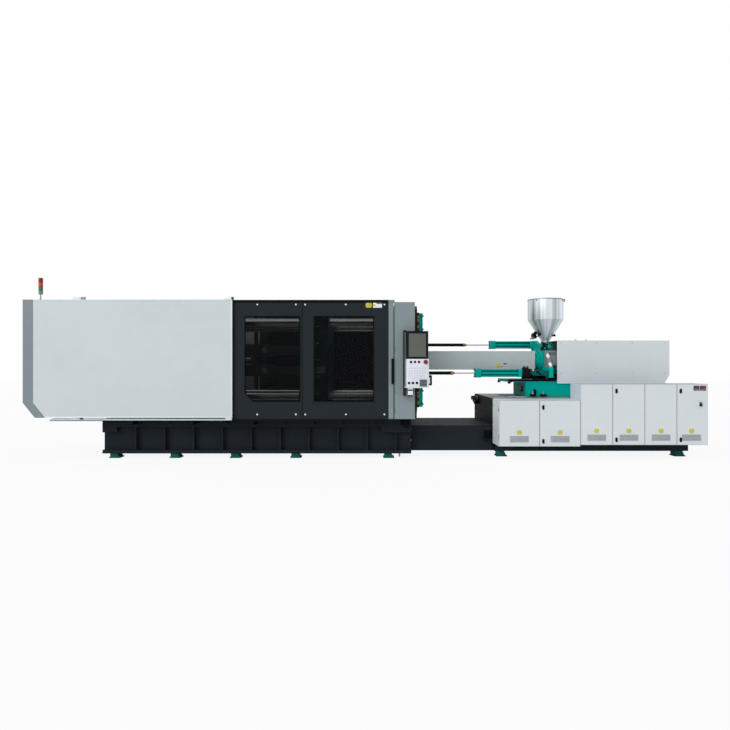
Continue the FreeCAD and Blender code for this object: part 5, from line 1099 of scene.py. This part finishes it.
class MACHINE_OT_hopper(Step, bpy.types.Operator):
    """Spun stainless hopper with its rolled rim, seams, shut-off knobs and domed lid"""
    bl_idname = "machine.hopper"
    bl_label = "Hopper"

    def execute(self, context):
        self.shell()
        self.lid()
        return {"FINISHED"}

    def shell(self):
        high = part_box("hopper")[1]
        radius = 0.276
        piece = Piece("hopper_shell")
        wall = [(0.05, 1.74), (0.057, 1.74), (0.057, 1.756), (0.0585, 1.76), (0.2735, 2.1),
                (radius, 2.108), (radius, 2.426), (0.2755, 2.431), (0.272, 2.431), (0.272, 2.108),
                (0.27, 2.102), (0.0545, 1.762), (0.05, 1.758)]
        piece.hoop(wall, HOPPER, "brushed stainless", steps=96)
        for z, out, height in ((2.105, 0.2762, 0.004), (1.762, 0.0625, 0.006)):
            bead = [(out - 0.002, z - height), (out, z - height / 2), (out, z + height / 2),
                    (out - 0.002, z + height)]
            piece.hoop(bead, HOPPER, "brushed stainless", steps=96)
        flange = [(0.052, 1.7405), (0.075, 1.7405), (0.075, 1.752), (0.052, 1.752)]
        piece.hoop(flange, HOPPER, "bolt steel")
        for spot in ring(HOPPER + Z * 1.752, "z", 0.066, 4, FULL_TURN / 8):
            piece.bolt(spot, Z, 0.006)
        seal = [(0.2745, 2.418), (0.2785, 2.418), (0.2795, 2.424), (0.2785, 2.4305), (0.2745, 2.4305)]
        piece.hoop(seal, HOPPER, "end cover paint", steps=96)
        self.shut_off(piece)
        for side in BOTH:
            piece.box((HOPPER.x + radius - 0.004, side * 0.031, high.z - 0.05),
                      (high.x - 0.001, side * 0.059, high.z - 0.006), "bolt steel", 0.002)
        for x, y in ((0.2, -0.19), (-0.2, -0.19), (-0.2, 0.19)):
            piece.stud(HOPPER + Vector((x, y, 2.405)), Vector((x, y, 0)), 0.045, 0.009, "bolt steel", 16)
        piece.done("carriage_unit", replaces=["hopper"])

    def shut_off(self, piece):
        """Knob, rods and unions of the slide at the hopper's foot."""
        knob = HOPPER + Vector((-0.221, 0, 1.842))
        piece.turned([(0.0, 0.0), (0.042, 0.0), (0.05, 0.008), (0.05, 0.03), (0.04, 0.045), (0.022, 0.07),
                      (0.0, 0.07)], knob, "soft black", "x", 32)
        piece.bar(knob + X * 0.068, knob + X * 0.112, 0.009, "bolt steel", 16, 0.001)
        for shift, size in (((0.035, -0.06, 0.045), 0.03), ((0.095, -0.07, 0.02), 0.024),
                            ((0.03, -0.08, -0.02), 0.022)):
            piece.stud(knob + Vector(shift), -Y, 0.03, size, "soft black", 24, 0.006)
        piece.bar(knob + Vector((-0.045, -0.05, -0.045)), knob + Vector((0.06, -0.05, -0.01)), 0.012,
                  "bolt steel", edge=0.003)
        piece.bar((3.015, -0.05, 1.845), (3.03, -0.1, 1.85), 0.012, "soft black", edge=0.003)
        piece.bar((3.03, -0.1, 1.85), (3.034, -0.115, 1.852), 0.02, "soft black", edge=0.005)

    def lid(self):
        low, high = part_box("hopper_lid")
        bottom, top = low.z, high.z
        lid = Piece("hopper_lid_dome")
        lid.turned([(0.0, bottom + 0.0002), (0.2815, bottom + 0.0002), (0.282, bottom + 0.001),
                    (0.282, bottom + 0.0075), (0.28, bottom + 0.0085), (0.23, bottom + 0.0155),
                    (0.15, bottom + 0.026), (0.085, top - 0.0045), (0.0, top - 0.0035)],
                   HOPPER, "polished stainless", steps=96)
        lid.box((HOPPER.x + 0.25, -0.03, bottom + 0.002), (high.x - 0.001, 0.03, bottom + 0.009),
                "bolt steel", 0.0015)
        hinge = (high.x - 0.009, -0.0295, bottom + 0.004)
        lid.bar(hinge, (high.x - 0.009, 0.0295, bottom + 0.004), 0.0085, "bolt steel", edge=0.001)
        lid.done("lid", replaces=["hopper_lid"])


class MACHINE_OT_carriage_cylinders(Step, bpy.types.Operator):
    """Carriage cylinders with their heads, tie rods and ports, and their rods with sleeves and couplings"""
    bl_idname = "machine.carriage_cylinders"
    bl_label = "Carriage cylinders"

    def execute(self, context):
        piece = Piece("carriage_cylinder_set")
        rods = Piece("carriage_rod_set")
        for (y, z), left, right, sleeve in ((UPPER_CYLINDER, 2.108, 2.83, 1.656),
                                            (LOWER_CYLINDER, 1.701, 2.413, 1.325)):
            self.cylinder(piece, y, z, left, right)
            self.rod(rods, y, z, left, sleeve)
        piece.done("carriage_unit", replaces=["carriage_cylinders"])
        rods.done("base", replaces=["carriage_rods"])
        return {"FINISHED"}

    def cylinder(self, piece, y, z, left, right):
        head, cap = left + 0.084, right - 0.05
        bore, wall = 0.0145, 0.0464
        tube = [(bore, left + 0.0005), (wall, left + 0.0005), (wall, cap + 0.01), (0.0, cap + 0.01),
                (0.0, left + 0.57), (bore, left + 0.57)]
        piece.hoop(tube, (0, y, z), "cast teal", "x")
        # The square barrel between tube and tie rods is darker teal: painted shade in the recess.
        piece.frame(rectangle(y - 0.045, y + 0.045, z - 0.045, z + 0.045), 0.02, head - 0.002, cap + 0.002,
                    "deep teal paint and painted recess shade", "x", 0.002)
        for start, end, half in ((left, left + 0.03, 0.07), (left + 0.03, head - 0.022, 0.062),
                                 (head - 0.022, head, 0.07), (cap, right, 0.064)):
            piece.flat(rectangle(y - half, y + half, z - half, z + half, 0.012), start + 0.0002, end,
                       "cast teal", "x", 0.003)
        wiper = [(bore, left - 0.004), (0.034, left - 0.004), (0.036, left + 0.001), (bore, left + 0.001)]
        piece.hoop(wiper, (0, y, z), "soft black", "x", 40)
        for side, level in CORNERS:
            spot = Vector((0, y + side * 0.05, z + level * 0.05))
            piece.bar(spot + X * head, spot + X * cap, 0.0105, "cast teal", 16, 0.0005)
            piece.bolt(spot + X * (left + 0.0005), -X, 0.011, "cylinder paint")
        for x in (head - 0.04, cap + 0.025):
            piece.bar((x, y + 0.06, z), (x, y + 0.082, z), 0.018, "bolt steel", 24)
            piece.bar((x, y + 0.08, z), (x, y + 0.098, z), 0.022, "soft black", 6)
        if (y, z) == LOWER_CYLINDER:
            self.valve(piece, y, z, right)

    def valve(self, piece, y, z, right):
        """Rear bracket of the lower cylinder, with its valve block, hoses and unions."""
        piece.box((right, y - 0.04, z - 0.04), (2.83, y + 0.04, z + 0.04), "deep teal paint and painted recess shade", 0.004)
        piece.box((right + 0.015, y - 0.062, z - 0.06), (right + 0.13, y - 0.038, z + 0.066), "soft black",
                  0.004)
        piece.box((right + 0.02, y - 0.05, z + 0.03), (right + 0.11, y + 0.04, z + 0.085), "black plastic",
                  0.004)
        for along, up, size in ((0.05, 0.085, 0.018), (0.095, 0.085, 0.013), (0.155, 0.04, 0.02),
                                (0.21, 0.04, 0.014)):
            start = Vector((right + along, y - 0.01, z + up - 0.01))
            piece.stud(start, Z, 0.022, size, "soft black", 6)
            piece.stud(start + Z * 0.02, Z, 0.012, size * 0.8, "rubber", edge=0.003)
        for along, up in ((0.14, -0.02), (0.24, 0.02)):
            start = Vector((right + along, y - 0.038, z + up))
            hose = start - Y * 0.012
            piece.stud(start, -Y, 0.02, 0.016, "soft black", edge=0.003)
            piece.bar(hose, hose + Vector((0.06, 0, -0.045)), 0.009, "rubber", 16)

    def rod(self, piece, y, z, left, sleeve):
        """Rod of a cylinder, in its black sleeve, with a brass coupling between them."""
        start, centre = 0.77, (0, y, z)
        piece.turned([(0.0, start), (0.026, start), (0.026, sleeve - 0.006), (0.0235, sleeve), (0.0, sleeve)],
                     centre, "soft black", "x", 36)
        piece.turned([(0.0, sleeve), (0.026, sleeve), (0.03, sleeve + 0.004), (0.03, sleeve + 0.026),
                      (0.022, sleeve + 0.03), (0.022, sleeve + 0.046), (0.017, sleeve + 0.06),
                      (0.0, sleeve + 0.06)], centre, "brass", "x", 24)
        piece.bar((sleeve + 0.058, y, z), (left + 0.518, y, z), 0.012, "chromed rod", 32, 0.001)
        piece.bar((start, y, z), (start + 0.03, y, z), 0.045, "soft black", 6, 0.003)


class MACHINE_OT_injection_unit(Step, bpy.types.Operator):
    """Bolts, plates, flange, cover trims, clamps and drive fins of the injection unit"""
    bl_idname = "machine.injection_unit"
    bl_label = "Injection unit"

    def execute(self, context):
        self.housing()
        self.barrel_flange()
        self.barrel_cover()
        self.injection_cover()
        self.carriage()
        self.screw_drive()
        return {"FINISHED"}

    def housing(self):
        piece = Piece("injection_housing_fittings")
        for side in BOTH:
            near, far = sorted((side * 0.238, side * 0.246))
            piece.frame(rectangle(2.895, 3.035, 1.305, 1.595), 0.01, near, far, "vent paint")
            for z in (1.18, 1.225):
                for x in (2.92, 3.0):
                    piece.bolt((x, side * 0.2, z), Y * side, 0.01)
        tilt = Matrix.Rotation(math.radians(-39.1), 3, "X")
        for across, up in ((-0.312, 1.517), (-0.422, 1.3815)):
            outline = [(-0.0295, 0.01), (-0.006, -0.052), (0.0295, -0.01), (0.006, 0.052)]
            diamond = plate(outline, -0.007, 0.002, "y", 0.002)
            bmesh.ops.rotate(diamond, cent=(0, 0, 0), matrix=tilt, verts=diamond.verts)
            bmesh.ops.translate(diamond, vec=(2.86, across, up), verts=diamond.verts)
            piece.put(diamond, "white plastic")
        for z in (1.17, 1.193, 1.216):
            piece.bar((2.45, -0.3, z), (2.84, -0.26, z), 0.0125, "rubber")
        neck = Vector((HOPPER.x, 0, 1.6725))
        piece.hoop([(0.03, -0.2), (0.05, -0.2), (0.05, -0.194), (0.03, -0.19)], neck, "soft black", "y", 40)
        for spot in ring(neck - Y * 0.2, "y", 0.042, 6):
            piece.bolt(spot, -Y, 0.005)
        for y, z in (UPPER_CYLINDER, LOWER_CYLINDER):
            piece.bar((2.89, y, z), (2.896, y, z), 0.052, "cast teal", 40)
            piece.bar((2.89, y, z), (2.925, y, z), 0.032, "soft black", 6, 0.004)
        for y in (-0.15, 0.15):
            piece.bar((2.87, y, 1.605), (2.87, y, 1.66), 0.018, "cast teal", edge=0.003)
            piece.bar((2.87, y, 1.655), (2.87, y, 1.69), 0.022, "soft black", 6, 0.003)
        piece.done("carriage_unit")

    def barrel_flange(self):
        nose = Piece("barrel_flange_ring")
        axis = (0, 0, CENTRE_LINE)
        nose.hoop([(0.0855, 2.709), (0.12, 2.709), (0.142, 2.735), (0.142, 2.7838), (0.1772, 2.7838),
                   (0.1776, 2.7842), (0.1776, 2.7852), (0.0855, 2.7852)], axis, "cast teal", "x", 72)
        for spot in ring((2.784, 0, CENTRE_LINE), "x", 0.16, 10, FULL_TURN / 20):
            nose.bolt(spot, -X, 0.009, "cast teal")
        skin = [(0.1755, 2.7845), (0.1776, 2.7845), (0.1776, 2.8295), (0.1755, 2.8295)]
        nose.hoop(skin, axis, "cast teal", "x", 72)
        nose.done("carriage_unit")

    def barrel_cover(self):
        cover = Piece("barrel_cover_trims")
        low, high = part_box("barrel_cover")
        half, grow, width, inset = 0.16, 0.0018, 0.012, 0.018
        band = rectangle(-half - grow, half + grow, low.z - grow, high.z + grow, 0.004)
        for x in (low.x, high.x - width):
            cover.frame(band, 0.004, x, x + width, "barrel cover paint", "x", 0.0006)
        for side in BOTH:
            for index in range(9):
                x = low.x + 0.06 + index * (high.x - low.x - 0.12) / 8
                for z in (low.z + inset, high.z - inset):
                    cover.cap((x, side * half, z), Y * side, 0.006, "bolt steel")
        near, far = -half - grow, -half
        cover.bar((2.116, near, 1.36), (2.116, far, 1.36), 0.034, "yellow plate", 40, 0.0004)
        cover.flat(rectangle(2.2, 2.255, 1.385, 1.405, 0.004), near, far, "red plate")
        cover.flat(rectangle(2.16, 2.185, 1.345, 1.358, 0.003), near, far, "red plate")
        cover.done("carriage_unit")

    def injection_cover(self):
        top = Piece("injection_cover_trims")
        low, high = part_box("injection_cover")
        for x in (3.277, 3.448):
            for side in BOTH:
                top.box((x - 0.022, side * 0.35, high.z), (x + 0.022, side * 0.32, high.z + 0.012),
                        "light paint and painted rim highlight")
                top.stud((x, side * 0.335, high.z + 0.01), Z, 0.012, 0.009, "bolt steel")
        for side in BOTH:
            face = side * 0.37
            near, far = face - side * 0.002, face + side * 0.004
            # Rims on the cover's left and bottom edges, in the lighter paint: painted highlight on the bent
            # edges.
            top.box((low.x, near, low.z), (low.x + 0.014, far, high.z), "light paint and painted rim highlight", 0.0015)
            top.box((low.x + 0.014, near, low.z), (4.63, far, low.z + 0.01), "light paint and painted rim highlight", 0.0015)
            for x in (3.05, 3.6, 4.15, 4.66):
                for z in (low.z + 0.16, high.z - 0.04):
                    top.cap((x, face, z), Y * side, 0.007, "bolt steel")
        for index in range(6):
            z = 1.35 + index * 0.04
            top.box((high.x - 0.002, -0.2, z), (high.x + 0.006, 0.2, z + 0.018), "vent paint")
        top.done("carriage_unit")

    def carriage(self):
        bed = Piece("carriage_fittings")
        left, plate_top = 2.2355, 1.152
        bed.box((left, -0.352, 1.1495), (2.9, 0.352, 1.153), "soft black", 0.001)
        for side in BOTH:
            bed.box((left, side * 0.349, 1.121), (2.98, side * 0.3535, plate_top), "soft black", 0.001)
            bed.bar((2.25, side * 0.33, 1.085), (2.25, side * 0.33, 1.12), 0.024, "soft black", 24, 0.005)
            for x, size in ((2.66, 0.03), (2.73, 0.022), (2.79, 0.03)):
                bed.box((x - size, side * 0.28, plate_top), (x + size, side * 0.34, plate_top + size),
                        "soft black", 0.004)
                bed.stud((x, side * 0.31, plate_top + size), Z, 0.02, 0.012, "rubber", 16)
            bed.bar((2.27, side * 0.352, 1.128), (2.27, side * 0.368, 1.128), 0.022, "soft black", 24, 0.005)
            for x in (2.56, 2.72):
                clamp = (x + 0.045, side * 0.385)
                bed.box((x, side * 0.352, 0.892), (x + 0.09, side * 0.41, 0.925), "soft black", 0.005)
                bed.bolt((*clamp, 0.925), Z, 0.015)
                bed.bar((*clamp, 0.93), (*clamp, 0.965), 0.008, "bolt steel", 16, 0.001)
            bed.box((2.62, side * 0.351, 0.93), (2.66, side * 0.375, 1.0), "soft black", 0.006)
            for x in (2.55, 3.6, 4.58):
                bed.bolt((x, side * 0.35, 1.075), Y * side, 0.012, "cast teal")
            bed.box((2.5, side * 0.3495, 1.088), (4.638, side * 0.353, 1.11), "cast teal", 0.001)
        for y in (-0.2, -0.12):
            bed.box((2.475, y, 0.96), (2.4975, y + 0.05, 1.05), "soft black", 0.004)
        bed.done("carriage_unit")

    def screw_drive(self):
        """End cowl, cooling fins and stroke nuts of the drive that turns the screw."""
        drive = Piece("screw_drive_fittings")
        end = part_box("screw_drive")[1].x
        drive.turned([(0.0, end - 0.001), (0.07, end - 0.001), (0.085, end - 0.012), (0.1, end - 0.03),
                      (0.0, end - 0.03)], (0, 0, CENTRE_LINE), "soft black", "x", 40)
        half = 0.118
        fin = rectangle(-half, half, CENTRE_LINE - half, CENTRE_LINE + half, 0.04)
        for index in range(12):
            x = 3.9 + index * 0.028
            drive.frame(fin, 0.008, x, x + 0.008, "soft black", "x", 0.001)
        for y in (-0.25, 0.25):
            drive.bar((3.8, y, CENTRE_LINE), (3.815, y, CENTRE_LINE), 0.04, "bolt steel", 6, 0.004)
        drive.done("screw_drive_unit")


class MACHINE_OT_cabinets(Step, bpy.types.Operator):
    """Latches, vents, plates, hinges and the main switch of the control cabinets"""
    bl_idname = "machine.cabinets"
    bl_label = "Control cabinets"

    def execute(self, context):
        for number in DOORS:
            self.door(number)
        self.hinges()
        self.main_switch()
        return {"FINISHED"}

    def door(self, number):
        low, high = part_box(f"cabinet_door_{number}")
        piece = Piece(f"cabinet_door_{number}_fittings")
        face = CABINET_FACE
        middle = (low.x + high.x) / 2 - (0.012 if number == 6 else 0)
        z = low.z + 0.065
        piece.frame(rectangle(middle - 0.134, middle + 0.134, z - 0.005, z + 0.084, 0.006), 0.007,
                    face - 0.004, face, "vent paint")
        for index in range(6):
            up = z + 0.004 + index * 0.0128
            piece.box((middle - 0.128, face - 0.0085, up), (middle + 0.128, face - 0.001, up + 0.0075),
                      "vent paint", 0.0012)
        piece.flat(rectangle(middle - 0.036, middle + 0.036, z + 0.106, z + 0.168, 0.02), face - 0.0015, face,
                   "yellow plate")
        piece.frame(rectangle(low.x + 0.0005, high.x - 0.0005, low.z + 0.001, high.z - 0.001, 0.003), 0.0045,
                    face - 0.0012, face + 0.001, "vent paint", edge=0.0004)
        if number % 2 == 0:
            x = low.x + 0.052
            for up in (high.z - 0.1, low.z + 0.075):
                piece.flat(rectangle(x - 0.016, x + 0.016, up - 0.034, up + 0.034, 0.015), face - 0.0095,
                           face, "soft black", edge=0.002)
                piece.bar((x, face - 0.009, up), (x, face - 0.0125, up), 0.009, "rubber", 24, 0.001)
        if number == 6:
            self.switch_plates(piece, face)
        piece.done(f"door_{number}")

    def switch_plates(self, piece, face):
        """Two dark plates with colour fields, and the frame round the main switch."""
        for left in (4.7, 4.792):
            piece.flat(rectangle(left, left + 0.086, 1.008, 1.08, 0.005), face - 0.0018, face, "link paint")
            piece.flat(rectangle(left + 0.036, left + 0.08, 1.042, 1.074, 0.002), face - 0.0026,
                       face - 0.0015, "red plate", edge=0)
            for bottom in (1.016, 1.028):
                piece.flat(rectangle(left + 0.008, left + 0.078, bottom, bottom + 0.004), face - 0.0024,
                           face - 0.0015, "vent paint", edge=0)
        piece.frame(rectangle(4.748, 4.838, 0.76, 0.87, 0.008), 0.004, face - 0.002, face, "cabinet paint",
                    edge=0.0004)

    def hinges(self):
        """Hinges of the outer doors, and screws and vents in the cabinets' ends."""
        hinges = Piece("cabinet_hinges")
        first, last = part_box("cabinet_door_1"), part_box("cabinet_door_6")
        for x, (low, high) in ((first[0].x - 0.004, first), (last[1].x - 0.008, last)):
            for up in (low.z + 0.12, high.z - 0.16):
                hinges.bar((x, -1.044, up), (x, -1.044, up + 0.05), 0.006, "bolt steel", 16, 0.001)
        low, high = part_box("cabinets")
        for y in (-0.98, -0.74):
            for z in (0.3, 0.78):
                hinges.cap((low.x, y, z), -X, 0.008, "bolt steel")
        for index in range(8):
            z = 0.75 + index * 0.03
            hinges.box((high.x - 0.002, -0.95, z), (high.x, -0.78, z + 0.014), "vent paint", 0.0008)
        hinges.done("base")

    def main_switch(self):
        low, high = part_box("main_switch")
        x, z = (low.x + high.x) / 2, (low.z + high.z) / 2
        switch = Piece("main_switch_handle")
        switch.turned([(0.0, -1.0501), (0.03, -1.0501), (0.0318, -1.052), (0.0318, -1.062), (0.029, -1.0659),
                       (0.0, -1.0659)], (x, 0, z), "cabinet paint", "y")
        switch.box((x - 0.016, -1.0799, z - 0.0295), (x + 0.016, -1.06, z + 0.0295), "black plastic", steps=3)
        switch.box((x - 0.002, -1.0803, z + 0.008), (x + 0.002, -1.079, z + 0.028), "white plastic", 0.0004)
        switch.done("switch_knob", replaces=["main_switch"])


class MACHINE_OT_power_unit(Step, bpy.types.Operator):
    """Cooling fins, fan cowl, terminal box and pipe unions of the hydraulic power unit"""
    bl_idname = "machine.power_unit"
    bl_label = "Power unit"

    def execute(self, context):
        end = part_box("power_unit")[1].y
        x, z = 3.04, 0.383
        wide, narrow = 0.17, 0.11
        octagon = [(-narrow, -wide), (narrow, -wide), (wide, -narrow), (wide, narrow), (narrow, wide),
                   (-narrow, wide), (-wide, narrow), (-wide, -narrow)]
        fin = [(x + across * 1.03, z + up * 1.03) for across, up in octagon]
        piece = Piece("power_unit_fittings")
        for index in range(14):
            y = 0.56 + index * 0.036
            piece.frame(fin, 0.014, y, y + 0.008, "soft black", edge=0.001)
        cowl = [(x + across, z + up) for across, up in octagon]
        piece.flat(cowl, end - 0.002, end - 0.0005, "pump paint", edge=0)
        for radius in (0.03, 0.06, 0.09, 0.12):
            guard = rectangle(radius, radius + 0.012, end - 0.003, end - 0.0002)
            piece.hoop(guard, (x, 0, z), "soft black", "y")
        piece.box((x - 0.08, 0.7, z + 0.165), (x + 0.08, 0.86, z + 0.225), "black plastic", 0.006)
        piece.bar((x, 0.33, z + 0.09), (x, 0.33, z + 0.15), 0.03, "bolt steel", 24, 0.003)
        piece.bar((x, 0.33, z + 0.14), (x, 0.33, z + 0.17), 0.036, "bolt steel", 6, 0.004)
        piece.done("base")
        return {"FINISHED"}


class MACHINE_OT_stage(Step, bpy.types.Operator):
    """Pale floor, white surroundings, soft lamps and the camera at the viewer's place"""
    bl_idname = "machine.stage"
    bl_label = "Stage"

    def execute(self, context):
        values = context.scene.machine_stage
        context.scene.view_settings.view_transform = "Standard"
        context.scene.world = self.surroundings(values.world)
        self.floor(context.scene, values.lift)
        self.lamp("front light", (0.7, 0.75, -0.5), values.key, 40)
        self.lamp("top light", (0.25, 0.3, -1.0), values.fill, 60)
        self.camera(context.scene, values)
        return {"FINISHED"}

    def surroundings(self, strength):
        """White all round, dimmer for the light that falls on the machine."""
        world = bpy.data.worlds.new("white surroundings")
        world.use_nodes = True
        tree = world.node_tree
        level = blend_value(tree, seen_straight(tree), strength, 1.0)
        feed(tree, tree.nodes["Background"], {"Color": (1, 1, 1, 1), "Strength": level})
        return world

    def floor(self, scene, lift):
        mesh = bpy.data.meshes.new("floor")
        sheet = bmesh.new()
        bmesh.ops.create_grid(sheet, x_segments=1, y_segments=1, size=40)
        sheet.to_mesh(mesh)
        sheet.free()
        floor = bpy.data.objects.new("floor", mesh)
        scene.collection.objects.link(floor)
        mesh.materials.append(self.floor_paint(lift))

    def floor_paint(self, lift):
        """Pale floor, lifted towards plain white where it is seen."""
        material = bpy.data.materials.new("pale floor")
        material.use_nodes = True
        tree = material.node_tree
        shader = tree.nodes["Principled BSDF"]
        feed(tree, shader, {"Base Color": (0.86, 0.87, 0.87, 1), "Roughness": 0.8})
        share = sum_of(tree, "MULTIPLY", seen_straight(tree), lift)
        white = knot(tree, "ShaderNodeEmission", {"Color": (1, 1, 1, 1), "Strength": 1.0})
        both = knot(tree, "ShaderNodeMixShader", {0: share, 1: shader.outputs[0], 2: white.outputs[0]})
        tree.links.new(both.outputs[0], tree.nodes["Material Output"].inputs["Surface"])
        return material

    def lamp(self, name, way, strength, softness):
        light = bpy.data.lights.new(name, "SUN")
        light.energy = strength
        light.angle = math.radians(softness)
        lamp = bpy.data.objects.new(name, light)
        lamp.rotation_euler = Vector(way).to_track_quat("-Z", "Y").to_euler()
        bpy.context.scene.collection.objects.link(lamp)

    def camera(self, scene, values):
        camera = bpy.data.objects.new("camera", bpy.data.cameras.new("camera"))
        camera.data.sensor_width = 36
        camera.data.lens = values.lens
        camera.data.clip_end = 200
        camera.location = (0, -values.distance, values.height)
        camera.rotation_euler = (math.radians(90), 0, 0)
        scene.collection.objects.link(camera)
        scene.camera = camera


STEPS = (MACHINE_OT_finishes, MACHINE_OT_side_covers, MACHINE_OT_tower_light, MACHINE_OT_gates,
         MACHINE_OT_platen_covers, MACHINE_OT_operator_panel, MACHINE_OT_clamp, MACHINE_OT_bases,
         MACHINE_OT_hopper, MACHINE_OT_carriage_cylinders, MACHINE_OT_injection_unit, MACHINE_OT_cabinets,
         MACHINE_OT_power_unit, MACHINE_OT_stage)
VALUES = {"machine_colours": MachineColours, "machine_sizes": MachineSizes, "machine_stage": StageValues}


class MACHINE_PT_dressing(bpy.types.Panel):
    """The machine's dressing steps and the values that they use."""
    bl_idname = "MACHINE_PT_dressing"
    bl_label = "Moulding machine"
    bl_space_type = "VIEW_3D"
    bl_region_type = "UI"
    bl_category = "Moulding machine"

    def draw(self, context):
        for step in STEPS:
            self.layout.operator(step.bl_idname)
        for attribute in VALUES:
            box = self.layout.box()
            values = getattr(context.scene, attribute)
            for name in values.__annotations__:
                box.prop(values, name)


def register():
    for item in (*VALUES.values(), *STEPS, MACHINE_PT_dressing):
        bpy.utils.register_class(item)
    for attribute, group in VALUES.items():
        setattr(bpy.types.Scene, attribute, PointerProperty(type=group))


def unregister():
    for attribute in VALUES:
        delattr(bpy.types.Scene, attribute)
    for item in reversed((*VALUES.values(), *STEPS, MACHINE_PT_dressing)):
        bpy.utils.unregister_class(item)


def main():
    register()
    for step in STEPS:
        group, name = step.bl_idname.split(".")
        getattr(getattr(bpy.ops, group), name)()


if __name__ == "__main__":
    main()
